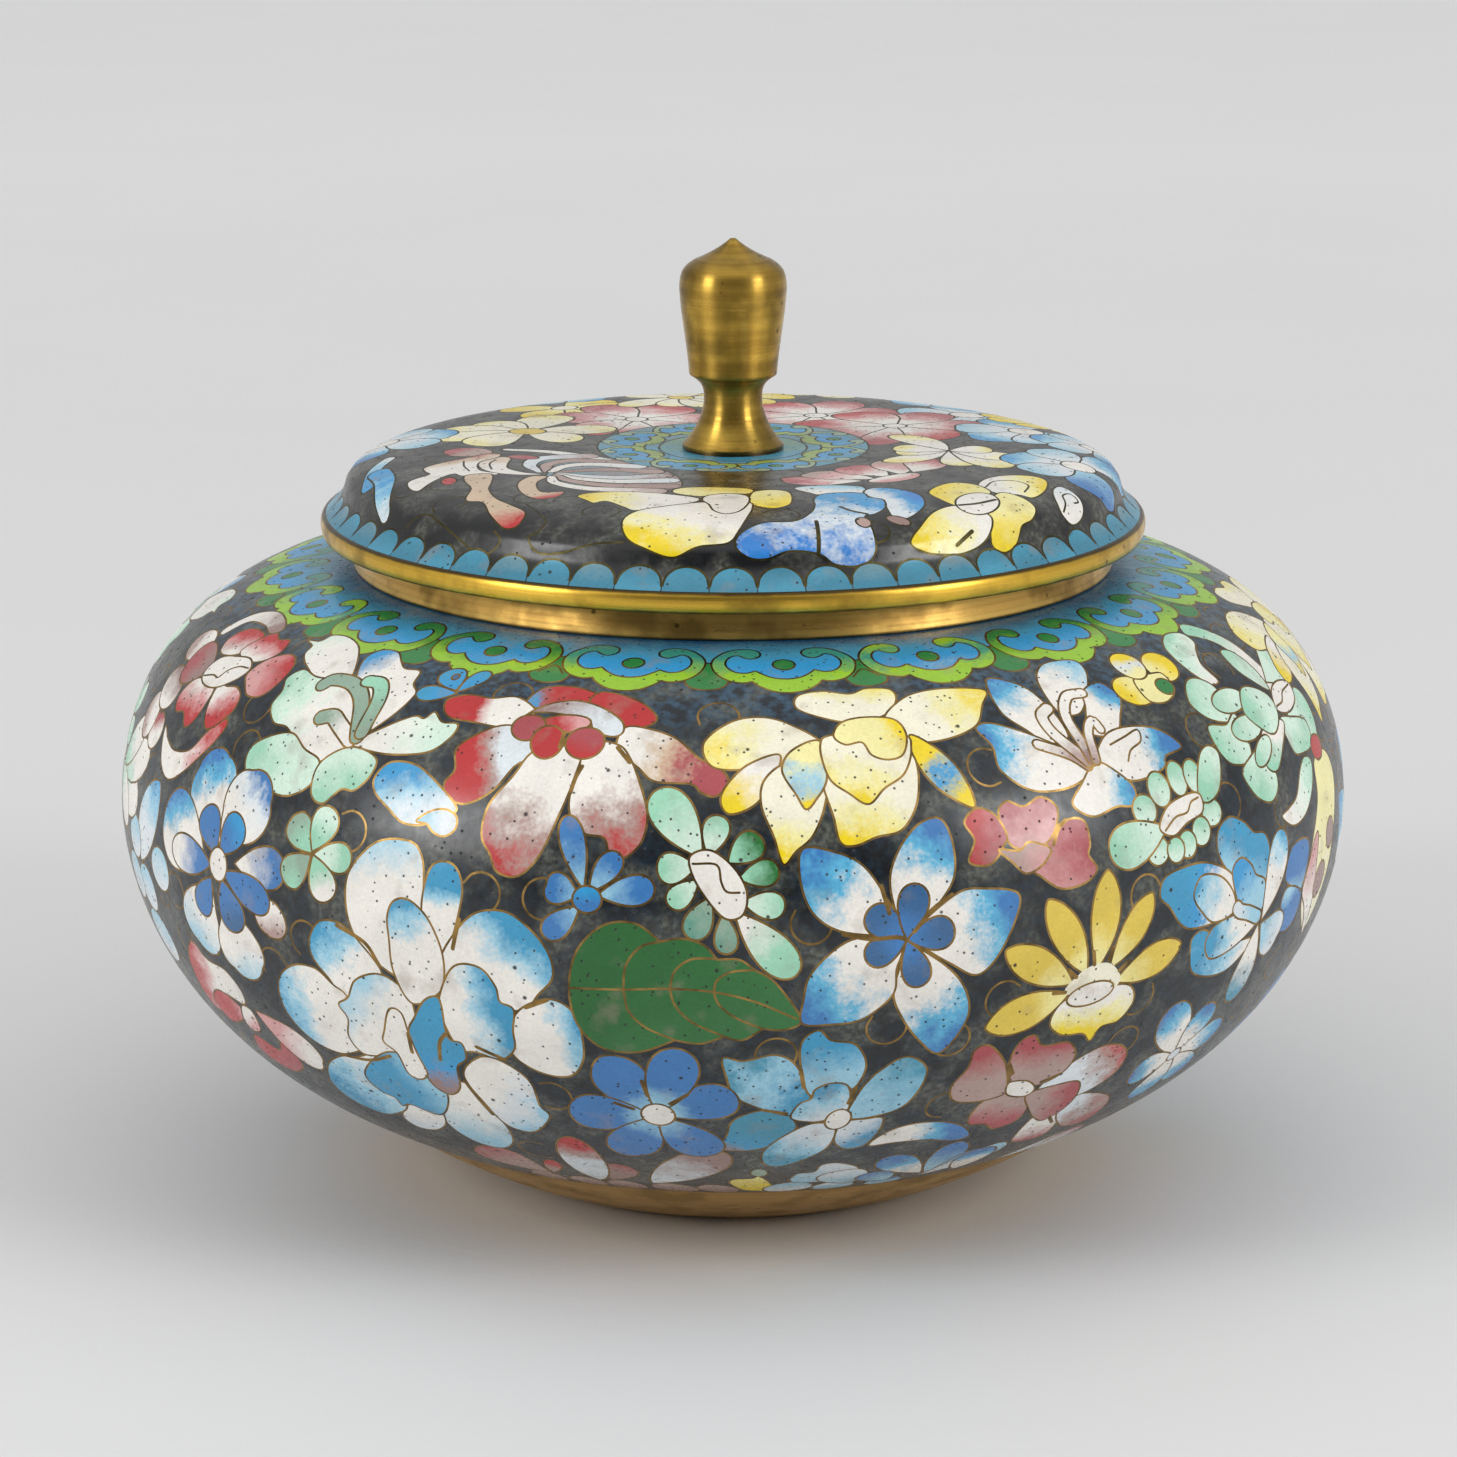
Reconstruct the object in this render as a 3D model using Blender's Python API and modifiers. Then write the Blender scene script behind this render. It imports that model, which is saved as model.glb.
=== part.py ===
"""Cloisonne lidded jar: an enamelled copper bowl and lid with turned brass fittings.

Metres, +Z up. The jar stands on Z = 0 with its axis on Z. Every piece is turned about
that axis, so each one is an outline in radius and height, spun by a Screw modifier.
"""
import bpy
from math import cos, hypot, radians, sin, tau

MM = 0.001

# Clearances
FIT_GAP = 0.3 * MM                # between pieces that touch
LIP_CLEARANCE = 0.5 * MM          # between the collar's lip and the lid rim around it

# Foot ring
FOOT_RADIUS = 28.6 * MM           # outer edge of the flat that it stands on
FOOT_LAND = 4.0 * MM              # width of that flat
FOOT_THICKNESS = 1.4 * MM
FOOT_BULGE = 0.7 * MM             # how far the sloping face swells

# Bowl
ENAMEL_EDGE_RADIUS = 46.8 * MM    # where the enamel ends above the foot ring
ENAMEL_EDGE_HEIGHT = 9.6 * MM
ENAMEL_EDGE_SLOPE = radians(66)   # from the vertical
BELLY_RADIUS = 75.0 * MM
BELLY_HEIGHT = 46.6 * MM
SHOULDER_RADIUS = 44.8 * MM       # where the shoulder meets the collar
SHOULDER_HEIGHT = 75.1 * MM
SHOULDER_SLOPE = radians(1.3)     # below the horizontal
BODY_WALL = 2.0 * MM

# How far each end of the bowl's curves keeps its direction
SHOULDER_REACH = 24.6 * MM
BELLY_RISE = 11.0 * MM
BELLY_DROP = 6.0 * MM
UNDERSIDE_REACH = 28.0 * MM

# Neck collar
COLLAR_HEIGHT = 3.3 * MM          # from its lower edge to the flange that carries the lid
COLLAR_FLARE = 1.6 * MM           # flange beyond the lower edge
COLLAR_WALL = 2.2 * MM            # at the lower edge
LIP_THICKNESS = 1.3 * MM
LIP_RISE = 3.6 * MM               # above the flange, inside the lid
LIP_CHAMFER = 0.4 * MM

# Lid rim
RIM_HEIGHT = 2.1 * MM
RIM_OVERHANG = 2.9 * MM           # bottom edge beyond the collar's flange
RIM_LOWER_BEVEL = 0.95 * MM       # widest edge beyond the bottom edge
RIM_UPPER_BEVEL = 0.75 * MM       # widest edge beyond the top edge
RIM_EDGE_DROP = 0.85 * MM         # from the top down to the widest edge

# Lid shell, heights above the rim
LID_CREST_HEIGHT = 7.9 * MM       # highest circle of the slightly dished top
LID_CREST_RADIUS = 27.0 * MM
LID_DISH = 0.4 * MM               # how far the middle sinks below the crest
LID_SIDE_HEIGHT = 3.6 * MM        # where the rounded shoulder turns into the flare
LID_SIDE_SLOPE = radians(10)      # from the vertical
LID_FLARE = 2.35 * MM             # how far the flare runs out to the rim
LID_CREST_REACH = 13.5 * MM
LID_SHOULDER_REACH = 3.4 * MM
LID_WALL = 1.9 * MM

# Finial, from its base upwards
FINIAL_BASE_RADIUS = 6.15 * MM
FINIAL_BASE_LIP = 0.5 * MM
FINIAL_FLARE_HEIGHT = 2.6 * MM
FINIAL_NECK_RADIUS = 3.55 * MM
FINIAL_NECK_HEIGHT = 3.3 * MM
FINIAL_HOLLOW_HEIGHT = 2.5 * MM   # quarter hollow from the neck to the cap's lower edge
FINIAL_CAP_FOOT_RADIUS = 5.35 * MM
FINIAL_CAP_HEIGHT = 10.4 * MM     # tapered side of the cap
FINIAL_CAP_RADIUS = 6.5 * MM
FINIAL_ROUND_HEIGHT = 3.5 * MM    # the cap's rounded edge
FINIAL_CROWN_RADIUS = 4.6 * MM    # where that edge meets the pointed top
FINIAL_POINT_HEIGHT = 2.25 * MM
FINIAL_TIP_RADIUS = 0.7 * MM
FINIAL_TIP_HEIGHT = 0.35 * MM

# Facets
BIG_STEPS = 56                    # around the bowl, the lid and their rings
FINIAL_STEPS = 24

# Colours, roughness and metallic value of each piece
ENAMEL_BLACK = (0.035, 0.036, 0.042)
BRASS_YELLOW = (0.58, 0.36, 0.10)


def curve(start, handle_a, handle_b, end, count):
    """Points of a cubic curve from start to end, both ends included."""
    points = []
    for i in range(count + 1):
        t = i / count
        s = 1 - t
        weights = (s ** 3, 3 * s * s * t, 3 * s * t * t, t ** 3)
        corners = (start, handle_a, handle_b, end)
        radius = sum(w * p[0] for w, p in zip(weights, corners))
        height = sum(w * p[1] for w, p in zip(weights, corners))
        points.append((radius, height))
    return points


def inset(points, first, last=None):
    """The outline moved inwards, by first at its start and by last at its end."""
    last = first if last is None else last
    moved = []
    for i, (radius, height) in enumerate(points):
        before = points[max(i - 1, 0)]
        after = points[min(i + 1, len(points) - 1)]
        run = after[0] - before[0]
        rise = after[1] - before[1]
        depth = (first + (last - first) * i / (len(points) - 1)) / hypot(run, rise)
        moved.append((radius + rise * depth, height - run * depth))
    return moved


def foot_face(start_gap=0.0):
    """The foot ring's sloping face, from the enamel edge down to the standing flat."""
    run = FOOT_RADIUS - ENAMEL_EDGE_RADIUS
    rise = -ENAMEL_EDGE_HEIGHT
    length = hypot(run, rise)
    along = (run / length, rise / length)
    swell = FOOT_BULGE / 0.75      # a cubic reaches three quarters of its handles
    start = (ENAMEL_EDGE_RADIUS + along[0] * start_gap, ENAMEL_EDGE_HEIGHT + along[1] * start_gap)
    handles = [
        (start[0] + run * share - along[1] * swell, start[1] + rise * share + along[0] * swell)
        for share in (1 / 3, 2 / 3)
    ]
    return curve(start, handles[0], handles[1], (FOOT_RADIUS, 0.0), 4)


def foot_ring_outline():
    outer = foot_face(FIT_GAP)
    inner = inset(outer, FOOT_THICKNESS)
    land_inner = FOOT_RADIUS - FOOT_LAND
    land = [(land_inner, 0.0), (land_inner, inner[-1][1])]
    return outer + land + inner[::-1]


def body_outline():
    """From the middle of the floor up the inside, over the mouth and down the outside."""
    shoulder = (SHOULDER_RADIUS, SHOULDER_HEIGHT)
    belly = (BELLY_RADIUS, BELLY_HEIGHT)
    edge = (ENAMEL_EDGE_RADIUS, ENAMEL_EDGE_HEIGHT)
    shoulder_handle = (
        SHOULDER_RADIUS + SHOULDER_REACH * cos(SHOULDER_SLOPE),
        SHOULDER_HEIGHT - SHOULDER_REACH * sin(SHOULDER_SLOPE),
    )
    underside_handle = (
        ENAMEL_EDGE_RADIUS + UNDERSIDE_REACH * sin(ENAMEL_EDGE_SLOPE),
        ENAMEL_EDGE_HEIGHT + UNDERSIDE_REACH * cos(ENAMEL_EDGE_SLOPE),
    )
    upper = curve(shoulder, shoulder_handle, (BELLY_RADIUS, BELLY_HEIGHT + BELLY_RISE), belly, 8)
    lower = curve(belly, (BELLY_RADIUS, BELLY_HEIGHT - BELLY_DROP), underside_handle, edge, 8)
    recess = FOOT_THICKNESS + FIT_GAP
    base = inset(foot_face(), recess)

    inner_upper = inset(upper, BODY_WALL)[::2]
    inner_lower = inset(lower, BODY_WALL, BODY_WALL + recess)[2::2]
    inner_base = inset(base, BODY_WALL)
    inner = inner_upper + inner_lower + inner_base[2::2]

    bore = SHOULDER_RADIUS - COLLAR_WALL
    mouth = [(bore, inner_upper[0][1]), (bore, SHOULDER_HEIGHT)]
    outer = upper + lower[1:] + base[::2]
    return [(0.0, inner[-1][1])] + inner[::-1] + mouth + outer + [(0.0, base[-1][1])]


def collar_base():
    return SHOULDER_HEIGHT + FIT_GAP


def flange_height():
    return collar_base() + COLLAR_HEIGHT


def collar_outline():
    bore = SHOULDER_RADIUS - COLLAR_WALL
    lip = bore + LIP_THICKNESS
    lip_top = flange_height() + LIP_RISE
    return [
        (SHOULDER_RADIUS + COLLAR_FLARE, flange_height()),
        (SHOULDER_RADIUS, collar_base()),
        (bore, collar_base()),
        (bore, lip_top),
        (lip - LIP_CHAMFER, lip_top),
        (lip, lip_top - LIP_CHAMFER),
        (lip, flange_height()),
    ]


def rim_edge_radius():
    """The rim's widest circle."""
    return SHOULDER_RADIUS + COLLAR_FLARE + RIM_OVERHANG + RIM_LOWER_BEVEL


def rim_outline():
    """Heights above the lid's seat."""
    widest = rim_edge_radius()
    inner = SHOULDER_RADIUS - COLLAR_WALL + LIP_THICKNESS + LIP_CLEARANCE
    return [
        (widest - RIM_UPPER_BEVEL, RIM_HEIGHT),
        (widest, RIM_HEIGHT - RIM_EDGE_DROP),
        (widest - RIM_LOWER_BEVEL, 0.0),
        (inner, 0.0),
        (inner, RIM_HEIGHT),
    ]


def lid_outline():
    """From the middle of the top down the outside, under the edge and up the inside."""
    edge_radius = rim_edge_radius() - RIM_UPPER_BEVEL
    edge = (edge_radius, RIM_HEIGHT + FIT_GAP)
    crest = (LID_CREST_RADIUS, RIM_HEIGHT + LID_CREST_HEIGHT)
    side = (edge_radius - LID_FLARE, RIM_HEIGHT + LID_SIDE_HEIGHT)
    middle = (0.0, crest[1] - LID_DISH)
    lean = (sin(LID_SIDE_SLOPE), cos(LID_SIDE_SLOPE))
    fall = side[1] - edge[1]

    above_side = (side[0] - lean[0] * LID_SHOULDER_REACH, side[1] + lean[1] * LID_SHOULDER_REACH)
    below_side = (side[0] + lean[0] * fall / 2, side[1] - lean[1] * fall / 2)
    above_edge = (edge[0] - fall / 4, edge[1] + fall / 4)
    top = curve(middle, (crest[0] / 3, middle[1]), (crest[0] * 2 / 3, crest[1]), crest, 3)
    shoulder = curve(crest, (crest[0] + LID_CREST_REACH, crest[1]), above_side, side, 6)
    flare = curve(side, below_side, above_edge, edge, 4)

    inner = inset(top[1:] + shoulder[1:], LID_WALL)
    skirt = [(inner[-1][0], edge[1])]
    outer = top + shoulder[1:] + flare[1:]
    return outer + skirt + inner[::-1] + [(0.0, middle[1] - LID_WALL)]


def finial_outline():
    """Heights above the finial's base, from the tip down the outside."""
    lip_top = FINIAL_BASE_LIP
    neck_foot = lip_top + FINIAL_FLARE_HEIGHT
    neck_top = neck_foot + FINIAL_NECK_HEIGHT
    cap_foot = neck_top + FINIAL_HOLLOW_HEIGHT
    cap_top = cap_foot + FINIAL_CAP_HEIGHT
    crown = cap_top + FINIAL_ROUND_HEIGHT
    tip_foot = crown + FINIAL_POINT_HEIGHT
    slope = FINIAL_POINT_HEIGHT / (FINIAL_CROWN_RADIUS - FINIAL_TIP_RADIUS)
    shelf = FINIAL_CAP_RADIUS - FINIAL_CROWN_RADIUS

    point = curve(
        (FINIAL_TIP_RADIUS, tip_foot),
        (FINIAL_CROWN_RADIUS * 0.4, tip_foot - FINIAL_POINT_HEIGHT * 0.42),
        (FINIAL_CROWN_RADIUS * 0.7, crown + FINIAL_POINT_HEIGHT * 0.26),
        (FINIAL_CROWN_RADIUS, crown),
        4,
    )
    rounding = curve(
        (FINIAL_CROWN_RADIUS, crown),
        (FINIAL_CROWN_RADIUS + shelf * 0.7, crown - shelf * 0.7 * slope),
        (FINIAL_CAP_RADIUS, cap_top + FINIAL_ROUND_HEIGHT * 0.62),
        (FINIAL_CAP_RADIUS, cap_top),
        5,
    )
    hollow = curve(
        (FINIAL_CAP_FOOT_RADIUS, cap_foot),
        (FINIAL_NECK_RADIUS * 1.15, cap_foot - FINIAL_HOLLOW_HEIGHT * 0.3),
        (FINIAL_NECK_RADIUS, neck_top + FINIAL_HOLLOW_HEIGHT * 0.45),
        (FINIAL_NECK_RADIUS, neck_top),
        4,
    )
    flare = curve(
        (FINIAL_NECK_RADIUS, neck_foot),
        (FINIAL_NECK_RADIUS, neck_foot - FINIAL_FLARE_HEIGHT * 0.55),
        (FINIAL_BASE_RADIUS * 0.8, lip_top + FINIAL_FLARE_HEIGHT * 0.1),
        (FINIAL_BASE_RADIUS, lip_top),
        4,
    )
    tip = (0.0, tip_foot + FINIAL_TIP_HEIGHT)
    base = [(FINIAL_BASE_RADIUS, 0.0), (0.0, 0.0)]
    return [tip] + point + rounding[1:] + hollow + flare + base


def material(name, colour, roughness, metallic):
    made = bpy.data.materials.new(name)
    made.use_nodes = True
    shader = made.node_tree.nodes["Principled BSDF"]
    shader.inputs["Base Color"].default_value = (*colour, 1.0)
    shader.inputs["Roughness"].default_value = roughness
    shader.inputs["Metallic"].default_value = metallic
    made.diffuse_color = (*colour, 1.0)
    return made


def turned(name, outline, closed, steps, finish, parent, collection):
    """A piece turned about Z from its outline; a closed outline is a ring's section."""
    count = len(outline)
    edges = [(i, i + 1) for i in range(count - 1)]
    if closed:
        edges.append((count - 1, 0))
    mesh = bpy.data.meshes.new(name)
    mesh.from_pydata([(radius, 0.0, height) for radius, height in outline], edges, [])
    mesh.materials.append(finish)
    piece = bpy.data.objects.new(name, mesh)
    collection.objects.link(piece)
    piece.parent = parent
    screw = piece.modifiers.new("turned", "SCREW")
    screw.axis = "Z"
    screw.angle = tau
    screw.screw_offset = 0.0
    screw.steps = steps
    screw.render_steps = steps
    screw.use_merge_vertices = True
    screw.merge_threshold = 0.00001
    screw.use_smooth_shade = True
    return piece


def empty(name, height, parent, collection):
    holder = bpy.data.objects.new(name, None)
    holder.empty_display_size = FOOT_RADIUS
    holder.location = (0.0, 0.0, height)
    holder.parent = parent
    collection.objects.link(holder)
    return holder


def clear_scene():
    for thing in list(bpy.data.objects):
        bpy.data.objects.remove(thing, do_unlink=True)


def main():
    clear_scene()
    collection = bpy.data.collections.new("cloisonne_lidded_jar")
    bpy.context.scene.collection.children.link(collection)

    body_enamel = material("body_enamel", ENAMEL_BLACK, 0.28, 0.0)
    lid_enamel = material("lid_enamel", ENAMEL_BLACK, 0.25, 0.0)
    collar_brass = material("collar_brass", BRASS_YELLOW, 0.30, 1.0)
    rim_brass = material("rim_brass", BRASS_YELLOW, 0.26, 1.0)
    foot_brass = material("foot_brass", BRASS_YELLOW, 0.36, 1.0)
    finial_brass = material("finial_brass", BRASS_YELLOW, 0.24, 1.0)

    jar = empty("jar", 0.0, None, collection)
    turned("jar_body", body_outline(), False, BIG_STEPS, body_enamel, jar, collection)
    turned("neck_collar", collar_outline(), True, BIG_STEPS, collar_brass, jar, collection)
    turned("foot_ring", foot_ring_outline(), True, BIG_STEPS, foot_brass, jar, collection)

    seat = flange_height() + FIT_GAP
    lid = empty("lid", seat, jar, collection)
    turned("lid_rim", rim_outline(), True, BIG_STEPS, rim_brass, lid, collection)
    turned("lid_shell", lid_outline(), False, BIG_STEPS, lid_enamel, lid, collection)
    finial = turned("finial", finial_outline(), False, FINIAL_STEPS, finial_brass, lid, collection)
    finial.location.z = lid_outline()[0][1] + FIT_GAP


main()
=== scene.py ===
"""Looks of the cloisonne lidded jar: its enamelled bowl and lid, brass fittings, camera and light.

The drawing on the enamel is in millimetres and degrees. A place on the bowl or the lid is an
azimuth from the front, positive to the viewer's right, and a distance along the surface from
the collar down the bowl, or from the middle of the lid outwards. Each motif has a frame of its
own there, x to the right and y towards the lid's knob. Every cell of enamel is edged by a wire.
"""

import bpy
import numpy as np
from collections import namedtuple
from itertools import cycle
from math import ceil, cos, hypot, pi, radians, sin, tau
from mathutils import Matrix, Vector
from mathutils.geometry import delaunay_2d_cdt


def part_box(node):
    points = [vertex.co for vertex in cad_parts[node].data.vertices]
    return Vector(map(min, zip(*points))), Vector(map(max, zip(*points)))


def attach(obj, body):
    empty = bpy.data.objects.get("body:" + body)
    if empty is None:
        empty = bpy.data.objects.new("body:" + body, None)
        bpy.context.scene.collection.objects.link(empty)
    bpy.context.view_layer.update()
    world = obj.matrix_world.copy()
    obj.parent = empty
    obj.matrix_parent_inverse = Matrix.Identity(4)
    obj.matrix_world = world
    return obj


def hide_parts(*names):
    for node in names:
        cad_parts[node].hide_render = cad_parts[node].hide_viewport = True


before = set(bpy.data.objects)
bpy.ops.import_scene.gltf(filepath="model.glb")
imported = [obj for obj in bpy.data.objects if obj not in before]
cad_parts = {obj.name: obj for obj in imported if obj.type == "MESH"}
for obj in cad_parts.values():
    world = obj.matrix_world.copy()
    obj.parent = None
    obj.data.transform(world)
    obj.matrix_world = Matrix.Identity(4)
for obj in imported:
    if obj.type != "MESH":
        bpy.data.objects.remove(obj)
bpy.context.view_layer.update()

MM = 0.001


def node_size(name):
    """A turned node's outer radius, lowest and highest point in millimetres."""
    low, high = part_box(name)
    return high[0] / MM, low[2] / MM, high[2] / MM


BELLY_RADIUS, _, SHOULDER_HEIGHT = node_size("jar_body")
FLANGE_RADIUS, _, LIP_TOP = node_size("neck_collar")
RIM_RADIUS, RIM_FOOT, RIM_TOP = node_size("lid_rim")
LID_RADIUS, LID_EDGE, LID_TOP = node_size("lid_shell")
FINIAL_RADIUS, FINIAL_FOOT, _ = node_size("finial")

# Sizes that the frame's boxes don't give, in millimetres
FIT_GAP = 0.3
SHOULDER_RADIUS = FLANGE_RADIUS - 1.6
SHOULDER_SLOPE = radians(1.3)
SHOULDER_REACH = 24.6
BELLY_HEIGHT = 46.6
BELLY_RISE = 11.0
BELLY_DROP = 6.0
ENAMEL_EDGE_RADIUS = 46.8
ENAMEL_EDGE_HEIGHT = 9.6
ENAMEL_EDGE_SLOPE = radians(66)
UNDERSIDE_REACH = 28.0
BODY_WALL = 2.0
COLLAR_WALL = 2.2
LIP_THICKNESS = 1.3
BORE_RADIUS = SHOULDER_RADIUS - COLLAR_WALL
LIP_RADIUS = BORE_RADIUS + LIP_THICKNESS
LIP_RISE = 3.6
FOOT_RADIUS = 28.6
FOOT_LAND = 4.0
FOOT_THICKNESS = 1.4
FOOT_BULGE = 0.7
COLLAR_LEAN = 0.95                # how far its top stands back from the flange's edge
COLLAR_BACK = 0.1                 # how far its foot does
COLLAR_BEAD = 0.25                # height of the rounding at its foot
COLLAR_TUCK = 0.3                 # how far its lower edge stands back
COLLAR_SINK = 0.1                 # how far it reaches into the shoulder
RIM_UNDERCUT = 0.4
RIM_SWELL = 0.05                  # how far the roll's handles reach past its edges
RIM_ROLL = 0.9                    # height of the lower handle
RIM_PLAY = 0.5                    # between the rim and the lip that it drops over
LID_CREST_RADIUS = 27.0
LID_DISH = 0.4
LID_FLARE = 2.35
LID_SIDE_HEIGHT = 3.6
LID_SIDE_SLOPE = radians(10)
LID_CREST_REACH = 13.5
LID_SHOULDER_REACH = 3.4
LID_WALL = 1.9
UNDER_SKIN = 0.35                 # how far the linings lie under the outer enamel

# The knob's heights from its foot up, and its radii
KNOB_LIP = 0.35
KNOB_FLARE = 5.2
KNOB_NECK = 0.85
KNOB_HOLLOW = 2.5
KNOB_CAP = 10.4
KNOB_CROWN = 3.5
KNOB_POINT = 2.25
KNOB_TIP = 0.35
BASE_RADIUS = 6.15
NECK_RADIUS = 3.55
CAP_FOOT_RADIUS = 5.35
CROWN_RADIUS = 4.6
TIP_RADIUS = 0.7

# Drawing
WIRE = 0.26                       # width of the wires
RIB = 0.5                         # width of the doubled wires that part two petals
OUTLINE_STEP = 0.42               # between points along a wire
BOWL_STEP = 2.1                   # between points inside the bowl's enamel
LID_STEP = 1.2                    # and inside the lid's, whose shoulder bends more
ROUND_STEPS = 192                 # facets around the turned pieces
FLARE_STEPS = 20                  # points along the lid's flare, where its lining stops

# The camera, from the way the circles of the photograph lie
PHOTO_SIZE = 1457
FOCAL_PIXELS = 4800
CAMERA_PITCH = radians(13.885)
CAMERA_DISTANCE = 592.0
AIM_HEIGHT = 53.5
AIM_SIDE = -0.55
SENSOR = 36.0

# The two soft boxes, from the reflections in the photograph, in degrees, metres and watts
LAMP_AZIMUTH = 58
LAMP_ELEVATION = 25
LAMP_DISTANCE = 1.0
LAMP_SIZE = 0.35
LAMP_POWER = 2.9


def curve(start, handle_a, handle_b, end, count):
    """Points of a cubic curve from start to end, both ends included."""
    t = np.linspace(0.0, 1.0, count + 1)[:, None]
    s = 1.0 - t
    ends = s ** 3 * np.array(start) + t ** 3 * np.array(end)
    return ends + 3 * s * s * t * np.array(handle_a) + 3 * s * t * t * np.array(handle_b)


def unit(along):
    """The same directions, each of length 1."""
    return along / np.maximum(np.hypot(along[:, 0], along[:, 1]), 1e-9)[:, None]


def inset(points, first, last=None):
    """The outline moved inwards, by first at its start and by last at its end."""
    along = unit(np.gradient(points, axis=0))
    depth = np.linspace(first, first if last is None else last, len(points))[:, None]
    return points + depth * np.column_stack([along[:, 1], -along[:, 0]])


def bowl_outline():
    """The enamelled outside, from the collar to the foot ring."""
    shoulder = (SHOULDER_RADIUS, SHOULDER_HEIGHT)
    belly = (BELLY_RADIUS, BELLY_HEIGHT)
    edge = (ENAMEL_EDGE_RADIUS, ENAMEL_EDGE_HEIGHT)
    shoulder_handle = (
        SHOULDER_RADIUS + SHOULDER_REACH * cos(SHOULDER_SLOPE),
        SHOULDER_HEIGHT - SHOULDER_REACH * sin(SHOULDER_SLOPE),
    )
    underside_handle = (
        ENAMEL_EDGE_RADIUS + UNDERSIDE_REACH * sin(ENAMEL_EDGE_SLOPE),
        ENAMEL_EDGE_HEIGHT + UNDERSIDE_REACH * cos(ENAMEL_EDGE_SLOPE),
    )
    upper = curve(shoulder, shoulder_handle, (BELLY_RADIUS, BELLY_HEIGHT + BELLY_RISE), belly, 80)
    lower = curve(belly, (BELLY_RADIUS, BELLY_HEIGHT - BELLY_DROP), underside_handle, edge, 80)
    return np.concatenate([upper, lower[1:]])


def foot_face():
    """The foot ring's sloping face, from the enamel edge down to the standing flat."""
    start = np.array((ENAMEL_EDGE_RADIUS, ENAMEL_EDGE_HEIGHT))
    slope = np.array((FOOT_RADIUS, 0.0)) - start
    across = np.array((-slope[1], slope[0])) / hypot(*slope)
    swell = across * FOOT_BULGE / 0.75    # a curve reaches three quarters of its handles' height
    return curve(start, start + slope / 3 + swell, start + slope * 2 / 3 + swell, (FOOT_RADIUS, 0.0), 16)


def lid_outline():
    """The enamelled outside, from the middle of the top to the rim."""
    crest = (LID_CREST_RADIUS, LID_TOP)
    middle = (0.0, LID_TOP - LID_DISH)
    edge = (LID_RADIUS, LID_EDGE)
    side = (LID_RADIUS - LID_FLARE, RIM_TOP + LID_SIDE_HEIGHT)
    lean = (sin(LID_SIDE_SLOPE), cos(LID_SIDE_SLOPE))
    fall = side[1] - edge[1]
    above_side = (side[0] - lean[0] * LID_SHOULDER_REACH, side[1] + lean[1] * LID_SHOULDER_REACH)
    below_side = (side[0] + lean[0] * fall / 2, side[1] - lean[1] * fall / 2)
    above_edge = (edge[0] - fall / 4, edge[1] + fall / 4)
    top = curve(middle, (crest[0] / 3, middle[1]), (crest[0] * 2 / 3, crest[1]), crest, 40)
    shoulder = curve(crest, (crest[0] + LID_CREST_REACH, crest[1]), above_side, side, 60)
    flare = curve(side, below_side, above_edge, edge, FLARE_STEPS)
    return np.concatenate([top, shoulder[1:], flare[1:]])


# Colours as they look, in 0 to 255
def srgb(*colour):
    """A screen colour as linear light."""
    return tuple(((c / 255 + 0.055) / 1.055) ** 2.4 if c > 10 else c / 255 / 12.92 for c in colour)


GROUND = srgb(20, 21, 23)
HAZE = srgb(60, 96, 122)
DUST = srgb(104, 106, 96)
WHITE = srgb(240, 236, 228)
PALE = srgb(220, 228, 232)
SKY = srgb(158, 206, 226)
CYAN = srgb(96, 180, 216)
CERULEAN = srgb(60, 152, 194)
AZURE = srgb(54, 154, 210)
TURQUOISE = srgb(70, 148, 176)
# The shoulder band's painted shade towards the collar, under the lid's rim
DEEP = srgb(38, 94, 138)
DUSTY_BLUE = srgb(108, 146, 158)
LAGOON = srgb(58, 130, 156)
# Grime along the collar's foot, with painted shade in that corner
GRIME_AND_SHADE = srgb(82, 78, 90)
COBALT = srgb(62, 122, 184)
ROYAL = srgb(46, 126, 204)
SLATE = srgb(58, 102, 148)
MINT = srgb(156, 212, 182)
PALE_MINT = srgb(214, 238, 220)
SAGE = srgb(146, 172, 152)
RED = srgb(186, 44, 46)
ROSE = srgb(170, 74, 80)
PINK = srgb(214, 158, 156)
MAUVE = srgb(178, 150, 142)
DUSK = srgb(154, 124, 118)
YELLOW = srgb(240, 212, 28)
OCHRE = srgb(224, 196, 78)
CREAM = srgb(244, 236, 166)
IVORY = srgb(243, 238, 214)
TAN = srgb(210, 184, 156)
LEAF = srgb(30, 98, 40)
MOSS = srgb(48, 112, 56)
JEWEL = srgb(44, 128, 64)
LIME = srgb(150, 198, 44)
OLIVE = srgb(146, 172, 78)
TEAL = srgb(58, 146, 128)
STAIN = srgb(150, 134, 118)
PIT = srgb(36, 33, 32)
# Dirt on the brass, and painted shade in the gap under the lid's rim
DIRT_AND_SHADE = srgb(52, 44, 36)
BRONZE = srgb(112, 84, 42)

# A cell's colours: at its root, in between and at its tip, and where the change starts and ends
Tint = namedtuple("Tint", "root middle tip start end")


def between(first, second, share=0.5):
    return tuple(a + (b - a) * share for a, b in zip(first, second))


def plain(colour):
    return Tint(colour, colour, colour, 0.0, 1.0)


def shade(root, tip, start=0.35, end=0.8, middle=None):
    return Tint(root, middle or between(root, tip), tip, start, end)


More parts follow.
